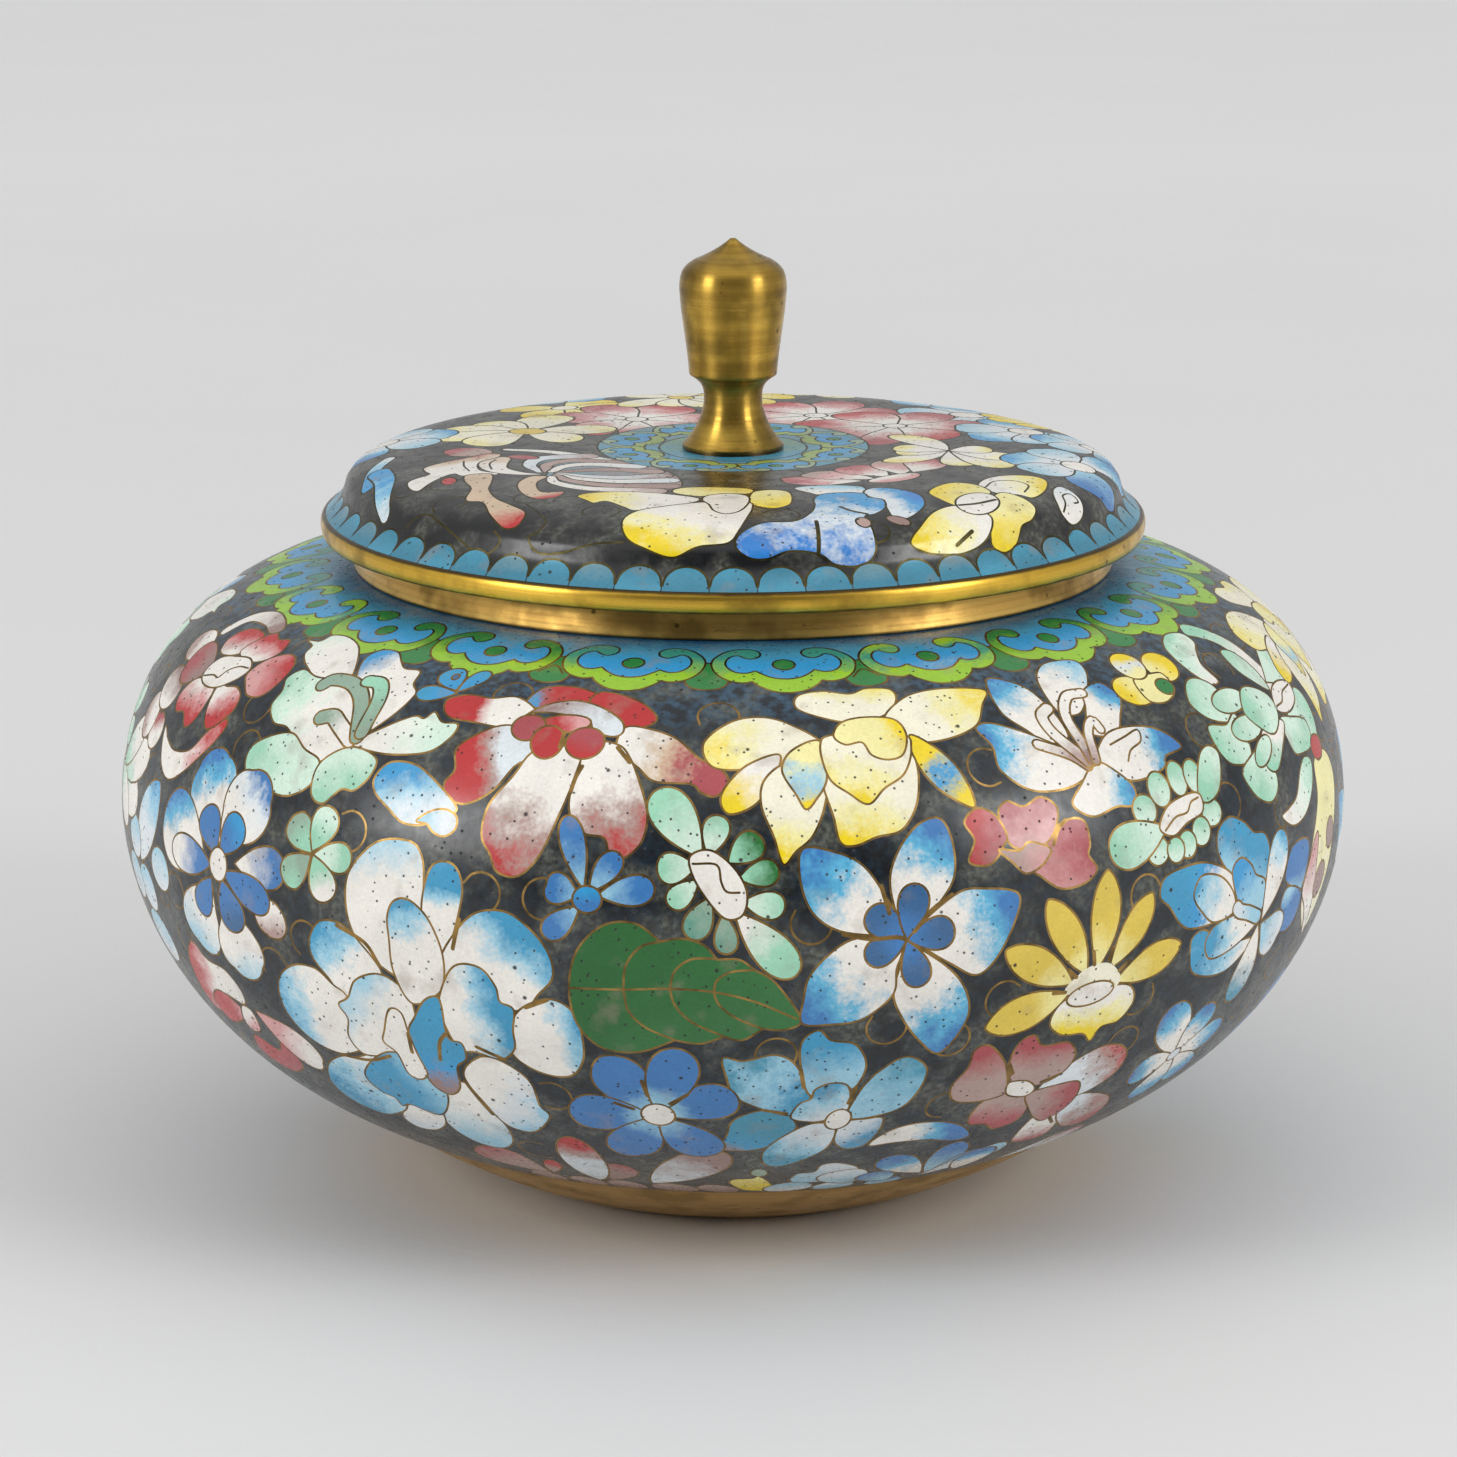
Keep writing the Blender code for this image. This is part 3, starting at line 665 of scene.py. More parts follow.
def cobalt_daisy(m):
    deep = shade(SKY, COBALT, 0.12, 0.42)
    m.petal(123, 10.4, 6.4, deep, -0.3, -0.4, tip=0.12)
    m.petal(180, 9.8, 6.6, deep, -0.5, -1)
    m.petal(243, 10.4, 6.2, deep, -0.4, -1, tip=0.1)
    m.fan(deep, (-57, 10, 6.2, 0, -1), (22, 9.6, 6, 0, -0.6), (72, 10.8, 5.8, -0.2, -0.4))
    m.ribs([(-1, 2.6), (-1.5, 5)], [(-2.8, 0.2), (-4.8, 1.1)], [(1.4, 1.4), (3.4, 3)])
    m.oval(-0.1, -0.7, 3.8, 4, plain(WHITE))


def yellow_rose(m):
    dipped = shade(IVORY, YELLOW, 0.55, 0.95, CREAM)
    m.cell([(-6.8, 6.4), (-6.3, 8.6), (-3.5, 9.3), (-0.5, 8.6), (1.5, 9.4), (4.2, 9), (4.6, 7.2), (3, 5),
           (-0.5, 4), (-3.6, 4.6)], shade(IVORY, YELLOW, 0.5, 1.1, CREAM), 75)
    m.cell([(2.5, 4), (5, 7), (8, 8.2), (12, 8.2), (15.5, 7.2), (14.5, 5), (13, 2.2), (9, 0.8), (5, 1)],
           shade(IVORY, YELLOW, 0.4, 1.0, CREAM), 20)
    m.cell([(-5, 1), (-8, 4), (-11, 5.2), (-14.5, 4.5), (-18, 1.5), (-17.5, -1.5), (-13.5, -1.8), (-9, -1)],
           shade(IVORY, YELLOW, 0.4, 1.1, CREAM), 200)
    m.cell([(-10, 0), (-14, -1.5), (-17, -4.8), (-16.5, -7), (-13.5, -6), (-11, -3)], shade(WHITE, YELLOW),
           215)
    m.cell([(-9, -1), (-12, -3), (-12.8, -6), (-11.8, -9.6), (-11, -12.6), (-9.5, -11.2), (-7.5, -9.5),
           (-5.8, -6), (-5.2, -2)], dipped, 250)
    m.cell([(5, 1.8), (5, -1.5), (7, -5), (10.8, -7.6), (11, -6), (9.8, -3), (8, -0.5)],
           shade(YELLOW, YELLOW, 0.25, 0.85, AZURE), -45)
    m.cell([(-5.3, -2), (-5, -8), (-4.5, -10.5), (-2.8, -10.8), (-0.5, -10), (2.5, -9.3), (4.6, -6),
           (4.9, -1), (2, 0)], dipped, 255)
    m.cell([(-5.2, 1.6), (-8.5, 0.5), (-10, -2), (-8.8, -5), (-8, -6.6), (-6.8, -5.6), (-5.2, -3)],
           shade(CREAM, YELLOW, 0.35, 1.0, SKY), 255)
    m.cell([(-5.3, 1), (-3.5, 2.4), (4, 2), (4.8, 0), (3.5, -3), (1, -4.6), (-1, -6.3), (-3, -5), (-5, -3)],
           shade(IVORY, YELLOW, 0.4, 1.0, CREAM), 250)
    m.cell([(-3.6, 2.2), (-2.5, 4), (0, 4.7), (3.5, 4.2), (4.6, 2), (3.8, -0.6), (2, -1.2), (0.2, -0.5),
           (-0.6, 1.2), (-2.5, 1)], shade(YELLOW, CREAM, 0.1, 0.6, CREAM), 200)


def blue_star(m):
    dipped = shade(WHITE, COBALT, 0.42, 0.9, CYAN)
    m.cell([(-0.5, 1.4), (-2.3, 5.5), (-4.5, 8.8), (-7.5, 10.4), (-11, 10.8), (-11.4, 7), (-10, 3.5),
           (-6.5, 1.5)], dipped, 135)
    m.cell([(-0.4, 1.6), (-1.6, 6.5), (-0.5, 10), (2, 12.8), (4.6, 13.4), (5.8, 11), (5.8, 7), (3.8, 4),
           (1.2, 1.4)], dipped, 62)
    m.cell([(1.2, 1.4), (6, 5), (9.5, 5.2), (13.4, 4.2), (12.8, 1), (10.5, -3), (8.3, -4.5), (5.5, -3),
           (2, -0.6)], dipped, 22)
    m.cell([(0.4, -0.8), (3.4, -2), (6.5, -5), (7.8, -8.5), (7, -11.5), (4.8, -14.3), (2.5, -12.5), (0, -9),
           (-1.2, -5.5)], dipped, -60)
    m.cell([(-0.6, -0.4), (-1, -3), (-1.3, -6), (-4.5, -8.8), (-8, -9.3), (-11.2, -9), (-11.2, -6),
           (-10.5, -3), (-7.5, 0), (-4.5, 0.9)], dipped, 222)
    m.fan(shade(COBALT, SLATE, 0.1, 0.7), (140, 5.6, 3.7), (78, 6.3, 3.6), (8, 5.6, 3.8), (-72, 5.8, 3.3),
          (202, 5, 3.3), x=0.1, y=0.3)
    m.ribs([(-7, 1.4), (-4, 0.7), (-1, 0.7), (0.2, 0.3)], [(-2.6, 6.4), (-1.8, 3.4)], [(1, 1.2), (3, 3.4),
           (5.4, 4.9)])


def blue_lily(m):
    dipped = shade(WHITE, COBALT, 0.55, 0.98, CYAN)
    m.cell([(-2, 0.5), (-2.8, 6.5), (-4.5, 9.2), (-7, 10.3), (-8.3, 7.5), (-8.5, 4.5), (-7, 2.2), (-5, 0)],
           dipped, 120)
    m.cell([(-1.6, 4), (-1.3, 8.5), (1, 11.2), (4, 11.6), (6.2, 10.8), (6, 8.5), (3.8, 5.5), (1, 3)],
           shade(WHITE, AZURE, 0.55, 1.1, SKY), 45)
    m.cell([(1, 0.4), (2.5, 4), (3.5, 6), (6.5, 6.8), (8, 4.2), (6.5, 1.8), (4.5, -0.4)], dipped, 35)
    m.cell([(-1, -3.2), (-4.4, -0.2), (-8, 2.2), (-11, 3.6), (-12.8, 3), (-12, 0.5), (-12.3, -2.5),
           (-9.5, -5.2), (-5, -5.6), (-1.5, -4.5)], shade(WHITE, COBALT, 0.55, 1.0, CYAN), 152)
    m.cell([(0.2, -3), (3, -0.2), (7, 0.2), (11, -1), (13.5, -3.6), (10.5, -4.2), (9.5, -5.5), (5, -6.2),
           (2, -5)], shade(WHITE, COBALT, 0.55, 0.85, CYAN), 0)
    m.cell([(0, -3.2), (-3, -5.5), (-4.8, -7.5), (-2.5, -9.2), (1, -8.6), (3.5, -8.8), (4.2, -7),
           (2.5, -4.8)], shade(WHITE, COBALT, 0.55, 1.1, CYAN), -25)
    m.band([(-1.2, -3.4), (-3, -1.8), (-6.4, 0)], 1.3, shade(MAUVE, WHITE), 150)
    m.band([(-0.9, -3), (-3.6, 0.8), (-4, 3.4), (-2.6, 4.5)], 1.5, shade(MAUVE, WHITE, 0.1, 0.5), 90)
    m.band([(-0.3, -2.9), (-1, 2.6), (0.8, 5.6), (3.2, 5.8)], 1.4, shade(DUSK, WHITE, 0.1, 0.5), 90)
    m.band([(0.2, -3), (0.8, 0.4), (2.2, 1.9), (2.7, 0.6)], 1.2, shade(MAUVE, WHITE, 0.1, 0.6), 60)
    m.wires([(3, -1.5), (5.5, -0.9), (7.8, -0.4), (7.6, -1.8), (5.6, -2.6), (4.6, -3.8)])


def pink_butterfly(m):
    m.cell([(1, 0.6), (4.5, 2.4), (6.8, 2), (7.2, -0.5), (6.8, -1.8), (7.8, -3.5), (6, -4.8), (2.8, -5),
           (0.2, -3.2), (-0.6, -2.4)], shade(ROSE, PINK, 0.3, 1.1), 240)
    m.cell([(-3, 0.6), (-3.8, 4), (-2.5, 5.4), (-0.5, 4.6), (1.8, 5.4), (3.6, 4), (3, 1.8), (1.5, 0.2),
           (-0.5, -0.2)], shade(PINK, ROSE, 0.1, 0.8), 110)
    m.cell([(-3.2, 1.6), (-4.2, 4), (-6.2, 5), (-8, 3.6), (-7.2, 1.5), (-8.2, -0.8), (-6, -1.4), (-4.5, -0.4),
           (-3.8, 0.6)], shade(ROSE, RED, 0.2, 0.8), 160)
    m.cell([(-4.5, 0.2), (-2, -0.2), (-0.8, 0.6), (0.8, 0.2), (2, -0.6), (0.5, -2.2), (-1.5, -2.8),
           (-3, -1.4)], shade(MAUVE, PINK), 0)
    m.ribs([(2.4, 0), (3.2, 1.5), (4.4, 2.4)])


def mint_daisy_lying(m):
    mint = shade(PALE_MINT, MINT, 0.3, 0.9)
    m.ovals(mint, (-5, 1, 3.6, 3.6), (-2, 2.9, 3.4, 4.2), (1.3, 3.6, 3, 4.2), (4, 3.4, 3, 4),
            (5.6, -1.2, 3.6, 3.2), (3.2, -2.9, 3.2, 3.4), (0.6, -3.9, 3, 3.2), (-4.2, -3.8, 3.4, 3.4),
            (-1.4, -4.2, 2.8, 3))
    m.petal(191, 9.2, 5.2, mint, -2.2, -1.4)
    m.cell([(4, 0.8), (4.6, 3), (6.5, 5.6), (8.5, 6.2), (9.8, 4.8), (8, 1.2), (5.5, 0)],
           shade(MINT, PALE_MINT), 60)
    m.cell([(-3.4, -1.4), (-1.5, 0.8), (2, 1.6), (4.2, 1.2), (4, -0.8), (1, -1.6), (-1.5, -2.6)],
           plain(WHITE))
    m.wires([(-2.6, -1.8), (-0.6, -0.6), (1.4, -0.4), (2.4, 0.6), (3.8, 0.9)])


def yellow_butterfly(m):
    gold = shade(CREAM, YELLOW, 0.1, 0.7)
    m.oval(-2.6, -0.6, 5.6, 4.6, gold, -10, 200)
    m.oval(4.8, 1.6, 5.2, 5, gold, 0, 20)
    m.cell([(-1.6, -2.4), (-1.2, 0.8), (2.4, 1), (4, 0.4), (3.6, -2), (1, -3.2)], plain(CREAM))
    m.oval(0.2, 3, 4.6, 4.8, shade(CREAM, YELLOW, 0.2, 0.8, PALE), 0, 90)
    m.oval(2.6, -1.2, 2.8, 2.4, plain(JEWEL))


def mint_rose(m):
    mint = shade(PALE_MINT, MINT, 0.3, 1.0)
    m.cell([(-4.8, 8), (-4, 11.5), (-1, 13.4), (2, 12.8), (2.2, 10.8), (0.3, 9.4), (-1.5, 7.4), (-1.4, 4.8),
           (-3.5, 5)], shade(WHITE, MINT, 0.2, 1.0, PALE_MINT), 120)
    m.cell([(2.6, 12.2), (4, 13.8), (6, 13), (9, 9), (10.5, 4), (11.5, 1.2), (8.5, 0.6), (7.5, 5), (6, 9),
           (4, 11)], shade(WHITE, MINT), 130)
    m.cell([(8, 1), (4.4, 4.6), (4.6, 8), (7, 7.4), (8.4, 4)], mint, 110)
    m.petal(12, 13, 7, mint, 8.6, 2, root=0.6)
    m.petal(-12, 9, 7, mint, 9, -2.6)
    m.cell([(-3, 4.2), (-5, 6.3), (-7.5, 6), (-9.6, 3.4), (-8, 0.8), (-4, 0)], mint, 140)
    m.cell([(-3, 0.4), (-6, -0.3), (-9.4, 0.2), (-9.8, -3), (-8, -5), (-4, -4.8)], mint, 190)
    m.cell([(-1, -4.4), (-5, -5), (-7.2, -6.4), (-5.6, -9.4), (-2.4, -10.6), (0, -8.6)], mint, 230)
    m.cell([(6.2, -2.5), (10, -3), (14, -4.5), (13, -7.2), (9, -7.4), (6.4, -6.5)], mint, -70)
    m.cell([(0, -3), (-1.6, -6.4), (0.6, -7.6), (4, -5.4), (7, -3), (4, -2)], shade(WHITE, MINT), 240)
    m.oval(-2.4, 2.2, 7, 3.3, mint, 0, 180)
    m.oval(-2.2, -1.6, 6.8, 3.2, mint, 0, 180)
    m.oval(-1, -4.8, 5.6, 2.6, mint, 25, 200)
    m.cell([(-1, 0.1), (1.5, 2.8), (4.5, 2.4), (7, 0.4), (6.5, -2), (3.5, -3.6), (1, -2.6)],
           shade(PALE_MINT, MINT), 180)
    m.cell([(7, -1.4), (8.4, 0.8), (11.6, 1.4), (15, 0.4), (14, -1.6), (10, -2.4)], plain(WHITE))
    m.wires([(7.4, -1), (9.6, -0.9), (11.4, 0), (14.6, 0.2)])
    m.cell([(-0.8, -12.8), (2, -14.5), (6, -14), (9.5, -11.5), (11, -8.8), (9, -7.8), (6.5, -9), (4, -11.4),
           (1.5, -12.2)], shade(WHITE, MINT, 0.2, 1.0, PALE_MINT), 30)


def cerulean_rose(m):
    m.cell([(-0.8, 5.5), (-0.4, 8), (2, 9.2), (4.6, 8.2), (6.5, 6.6), (9, 5.8), (9.8, 3), (8, 0), (4, 1),
           (1, 3)], shade(SKY, CERULEAN, 0.1, 0.6), 60)
    m.cell([(-5.3, -4.5), (-4, -8), (0, -9.6), (4, -9.4), (7.4, -6.6), (4, -6), (0, -5), (-3, -3),
           (-4.8, -3.2)], shade(CERULEAN, WHITE, 0.2, 0.9, SKY), 0)
    m.cell([(-11, 2.5), (-10, 4.6), (-6, 5.2), (-2.5, 4.8), (1.4, 2.8), (2.5, 0), (0, -2.2), (-5, -2.4),
           (-7.5, -1.4), (-9.5, 1)], shade(WHITE, CERULEAN, 0.25, 0.7, AZURE), 160)
    m.cell([(-2.6, -4.8), (-1.2, -7), (2, -7), (6, -5.6), (8, -3.8), (4, -2.6), (1.5, -2.4), (-1.5, -3)],
           shade(WHITE, CERULEAN, 0.4, 0.9, SKY), 180)
    m.cell([(-5.5, 1.5), (-4, 3.6), (-0.5, 2.8), (2, 0.2), (2, -2), (-1.5, -2.4), (-3.8, -0.8)],
           shade(WHITE, CERULEAN, 0.3, 1.0, SKY), 150)
    m.cell([(1.6, 2.8), (3.4, 4.2), (5.5, 3), (6.5, 1.6), (8.6, 0.4), (8.6, -2.8), (6, -3.6), (3, -1.2)],
           shade(SKY, AZURE), 120)
    m.band([(7.6, -3.8), (5.4, -2.8), (3.6, -2.2), (2.8, -1.6)], 1.8, shade(SKY, PALE), 180)
    m.petal(66, 11, 4.8, shade(WHITE, CERULEAN, 0.6, 1.0, SKY), 8.8, -4.6)
    m.petal(-30, 6.4, 5, shade(SKY, PALE), 8.8, -5, lobes=2)
    m.petal(-94, 10.6, 4.8, shade(WHITE, TURQUOISE, 0.4, 0.9), 8.2, -4.8)


def yellow_daisy(m):
    gold = shade(CREAM, OCHRE, 0.05, 0.5)
    m.fan(gold, (150, 10.8, 4.2, -2.4, 1.2), (120, 11.2, 4, -0.8, 2), (83, 11.6, 4.1, 0.5, 2.4),
          (54, 10, 3.7, 2.3, 2.2), (17, 10.2, 4.3, 3.4, 0.4), (197, 10.6, 5, -2.8, 0.1), tip=0.22)
    m.cell([(-3, -0.6), (-4.6, -3.5), (-2.5, -5.6), (0.5, -6), (2, -7.4), (3, -5.6), (5.5, -5.2), (7, -2.8),
           (6, -0.6), (3.2, 0)], shade(WHITE, YELLOW, 0.2, 0.75, CREAM), -90)
    m.cell([(-3.4, 0.2), (-1.8, 2.4), (0.4, 3.2), (2.6, 2.8), (4.2, 0.6), (2, -1)], plain(IVORY), wire=0.0)
    for x, y, angle in ((-2.2, 2, 138), (0.1, 3.2, 100), (2, 3.4, 68), (3.8, 1.8, 38), (-3.4, 0.3, 175)):
        m.ribs([(x, y), (x + 1.6 * cos(radians(angle)), y + 1.6 * sin(radians(angle)))])
    m.oval(0.2, -0.5, 6.4, 2.9, plain(WHITE), 6)


def dull_rose(m):
    faded = shade(MAUVE, ROSE, 0.3, 0.8)
    m.cell([(5, -7), (4.5, -12), (6, -14.5), (10, -14), (9, -8)], shade(WHITE, ROSE, 0.4, 1.0), -90)
    m.cell([(8.6, -3.8), (14, -5), (17, -8), (16, -13), (12, -12.5), (8.6, -8)],
           shade(PALE, ROSE, 0.2, 1.0, MAUVE), -30)
    m.cell([(3, 0), (7, 3.6), (10.5, 4.8), (13.5, 3.8), (14.8, 1.5), (13.8, -1.5), (10.5, -3.8), (7.5, -3.6),
           (4, -2)], shade(PALE, RED, 0.45, 1.05, MAUVE), 30)
    m.cell([(-4.8, -3.5), (-4.2, -6), (-2, -6.5), (0, -8.2), (2.3, -7.2), (2.9, -4.5), (2, -1), (-1, -0.4),
           (-3.8, -1)], faded, -100)
    m.cell([(1.6, -1.4), (5, -0.6), (8.5, -0.8), (9.6, -3.5), (9, -6.5), (7, -8.6), (4.8, -7), (2.8, -4.2)],
           faded, 10)
    m.cell([(-2, 1.6), (-3.5, 5.2), (-6, 8), (-7.8, 7.6), (-8, 5), (-9.2, 2.2), (-8, -0.5), (-4.5, -1.2),
           (-1.6, -0.4)], shade(MAUVE, ROSE, 0.45, 0.8), 105)
    m.cell([(-2.8, 5), (-2.3, 7.8), (-0.5, 8.6), (1, 6.8), (4.5, 6.6), (6.2, 4.4), (5.5, 1.8), (3, 0.2),
           (0, 0.2), (-1.6, 1.6)], shade(MAUVE, ROSE, 0.4, 0.8), 85)
    m.cell([(-1.9, 0.9), (-1.4, 1.6), (0.8, 1.2), (2.3, -0.4), (1.6, -1.6), (0, -1.4), (-1.4, -0.6)],
           plain(WHITE))
    m.ribs([(-2.8, 4.8), (-1.8, 3)], [(2.8, 0.6), (5, 1.4)], [(7.6, -8), (9, -10)])


def blue_pinwheel(m):
    dipped = shade(WHITE, COBALT, 0.45, 0.95, CYAN)
    m.fan(dipped, (125, 11.4, 5.6), (75, 8, 5), (195, 6.8, 5.6), (15, 8.6, 5.2), (-40, 9.6, 5.2),
          (-85, 9.2, 5.2), x=-0.5, y=-0.8)
    m.oval(-0.4, -0.8, 2.2, 2.2, plain(PALE))


def turquoise_rose(m):
    m.cell([(-5.2, 0.4), (-6, 1.2), (-9, 2), (-11.8, 0.2), (-12.2, -3), (-12.8, -6), (-9.5, -6.6), (-6.5, -5),
           (-4.6, -1.6)], shade(TURQUOISE, DUSK, 0.5, 1.0, CERULEAN), 235)
    m.cell([(-3.6, 4), (-5.5, 9), (-8, 10.8), (-11.5, 10), (-13.8, 10.4), (-13.2, 7.5), (-12, 4.5), (-9, 2.4),
           (-5, 1)], shade(CERULEAN, TURQUOISE, 0.1, 0.9, SKY), 150)
    m.cell([(-3.8, 4.6), (-5.2, 9.5), (-5.2, 12.6), (-3.5, 14), (-2, 12.6), (0.8, 11.8), (2.2, 8.8),
           (1.2, 5.4), (-1, 4.6)], shade(SKY, CERULEAN, 0.3, 0.7), 100)
    m.cell([(0.8, 0.8), (2.2, 5.5), (4.5, 8.4), (7, 9.6), (9.3, 7.6), (8.8, 4.2), (7, 1.2), (4, 0),
           (1.6, -0.2)], shade(SKY, TURQUOISE, 0.3, 1.0), 50)
    m.cell([(-0.2, -1.6), (-3, -0.8), (-6, -3.5), (-7.6, -7), (-7, -10.4), (-5, -11.4), (-2.2, -9),
           (-0.3, -6)], shade(PALE, TURQUOISE, 0.3, 0.75, SKY), 248)
    m.cell([(0.2, -1.6), (0.2, -5), (1.8, -7), (3.8, -6.4), (5, -3.5), (5.2, -0.5), (3, -0.4), (1, -0.6)],
           shade(PALE, CERULEAN, 0.3, 0.8), -50)
    m.cell([(-5.4, 0.5), (-4.8, 3), (-3.5, 3.9), (-3.2, 5.4), (-1.5, 6.3), (0.4, 5.8), (1, 3), (0.6, 1),
           (-1, 0), (-3, -0.4)], shade(PALE, CERULEAN, 0.2, 0.9, SKY), 120)
    m.ribs([(-6, 1.4), (-8.6, 2.1)], [(-4.5, 5.8), (-5.1, 8.6)], [(0.8, 2.8), (1.4, 5.4)])
    m.oval(0, -0.2, 2.9, 3.9, plain(WHITE), -10)


def pink_row(m):
    """The fringe of petals above the foot ring."""
    m.petal(135, 10.5, 7.6, shade(MAUVE, ROSE, 0.4, 1.0), -5, -3.5)
    m.petal(75, 6.4, 2.3, shade(MAUVE, RED, 0.3, 0.8), -4.6, -3)
    m.petal(67, 8, 4.4, shade(DUSK, ROSE, 0.5, 1.0), 2.6, -3.4)
    m.petal(86, 15.2, 5.3, shade(PALE, RED, 0.55, 0.85, MAUVE), 0.8, -4.2, root=0.25, bend=0.03)
    m.petal(52, 17, 6.2, shade(PALE, DUSK, 0.2, 0.8), 7.2, -3.6, root=0.35, bend=-0.06)
    for x, width in ((-6.4, 4.6), (-1.4, 4.4), (3.4, 4.6), (9, 5.4), (14, 4.6)):
        m.oval(x, -6.4, width, 6, shade(DUSK, MAUVE))
    m.cell([(16.4, -2.6), (17.4, -0.4), (19.6, 0), (20.6, 1.2), (21, -2), (20.2, -7.6), (17, -7.6)],
           shade(YELLOW, CREAM, 0.4, 1.1))
    m.oval(21, 2.4, 2, 3, plain(SAGE), -20)


def blue_row(m):
    """Blue lobes and a fan above the foot ring."""
    m.cell([(0, 9.4), (1.2, 12), (4, 13.6), (8, 13.4), (11, 11.6), (12.4, 9), (10.5, 8.2), (7, 9.4),
           (3, 9.6)], shade(WHITE, COBALT, 0.4, 0.75, CYAN), 0)
    m.petal(125, 11.8, 5, shade(WHITE, COBALT, 0.4, 0.8, CYAN), 9.8, -4.2, root=0.7)
    m.petal(82, 11.6, 4.6, shade(SKY, COBALT, 0.3, 0.8), 10, -4)
    m.petal(52, 9.6, 5, shade(SKY, COBALT, 0.3, 0.9), 10.8, -4)
    m.oval(-6, -6, 5.6, 7, shade(PALE, SKY))
    m.oval(-0.6, -6.6, 5, 6, shade(SKY, PALE))
    m.oval(5.6, -6.8, 4.6, 5.4, shade(SKY, COBALT))
    m.cell([(-4.6, -3), (-6.8, -1.6), (-6.6, 1.4), (-4.8, 2), (-4.4, 4.4), (-2.4, 4.8), (0.4, 2.4), (1, -2)],
           shade(SKY, PALE, 0.2, 0.8), 60)
    m.petal(110, 8, 6, shade(SKY, PALE), 1, -5.6)
    m.petal(120, 7, 4.6, shade(SKY, COBALT, 0.3, 0.9), 5.8, -6.4)


def light_tips(m):
    """Pale petals above the foot ring, blue and then mauve."""
    m.petal(60, 12, 5, shade(PALE, SKY, 0.4, 0.9), -8, -6)
    m.petal(100, 10, 5, shade(WHITE, COBALT, 0.5, 0.9, CYAN), -3, -6)
    m.petal(50, 11, 5, shade(PALE, MAUVE, 0.4, 0.9), 3, -6.4)
    m.petal(80, 9, 4.6, shade(PALE, ROSE, 0.4, 1.0), 9, -6)


def pale_blue_leafed(m):
    m.petal(62, 12.4, 6.6, shade(PALE, AZURE, 0.45, 1.0, SKY), 6, -11.4, root=0.35, tip=0.2)
    m.ovals(shade(PALE, SKY, 0.2, 0.9), (3.6, -9, 5.6, 5.4), (13.6, -10.6, 5.8, 5.4), (7, -14.6, 6.2, 6),
            (1.4, -14.4, 6.6, 6), (6.6, -21, 8.4, 7))


def mint_fan(m):
    mint = shade(WHITE, JEWEL, 0.4, 1.3, MINT)
    m.fan(mint, (172, -15, 6.4, -8), (196, -15, 5.6, -6), (150, -11, 5.6, -8), (218, -12, 5, -6),
          y=-3, root=0.3)


def red_tongues(m):
    m.cell([(-3.5, -4), (-2.5, 2), (1, 5.8), (4, 4.2), (8, 3.8), (10, 1.5), (9, -0.8), (5, -0.4), (2, -1.5),
           (-1, -5)], shade(RED, WHITE, 0.1, 0.5, PINK), -20)
    m.cell([(-1, -3.5), (2, -0.8), (5, -0.5), (7.8, -2.4), (4, -5), (0, -6)], shade(RED, PINK, 0.5, 1.1), -10)
    m.cell([(6, -4), (8, -1.2), (10, -1.6), (9.2, -4.6), (6.6, -5.6)], shade(WHITE, PINK), -60)
    m.cell([(3, -10), (6, -6.4), (10, -7.6), (13, -5), (13.4, -9), (9, -12), (5, -12)], shade(RED, ROSE), -40)
    m.petal(-38, 10, 6, shade(PINK, WHITE), 11, -1, lobes=2)


def cream_sash(m):
    m.cell([(-3.6, -3), (-1.6, 2), (1.6, 7), (3, 11), (8, 11.4), (10.6, 8), (8, 1), (6.6, -4), (3, -9.6),
           (-1, -7.6)], shade(IVORY, CREAM, 0.1, 0.6), 50)
    m.cell([(-3.6, -3), (-1.2, -6), (2.4, -10.4), (1.6, -5), (0.6, -1), (0.8, 3), (-1.4, 1.6)],
           shade(WHITE, PINK), 90)
    m.oval(3, -3.4, 4.4, 4.6, plain(DUSK))
    m.oval(6.2, 1.6, 3.8, 3.8, plain(DUSK))
    m.oval(5.6, 12.2, 4.4, 3, plain(RED))


def cobalt_wings(m):
    deep = shade(SKY, COBALT, 0.0, 0.4)
    m.cell([(-9.8, 0), (-8.4, 3), (-5.4, 3.6), (-2.8, 2.8), (-3, 0.2), (-4.6, -2.8), (-8, -1.4)], deep, 90)
    m.cell([(-10, -3.4), (-8.2, -7.2), (-4.6, -6.8), (-4, -3.2), (-8.6, -1.4)], deep, -80)


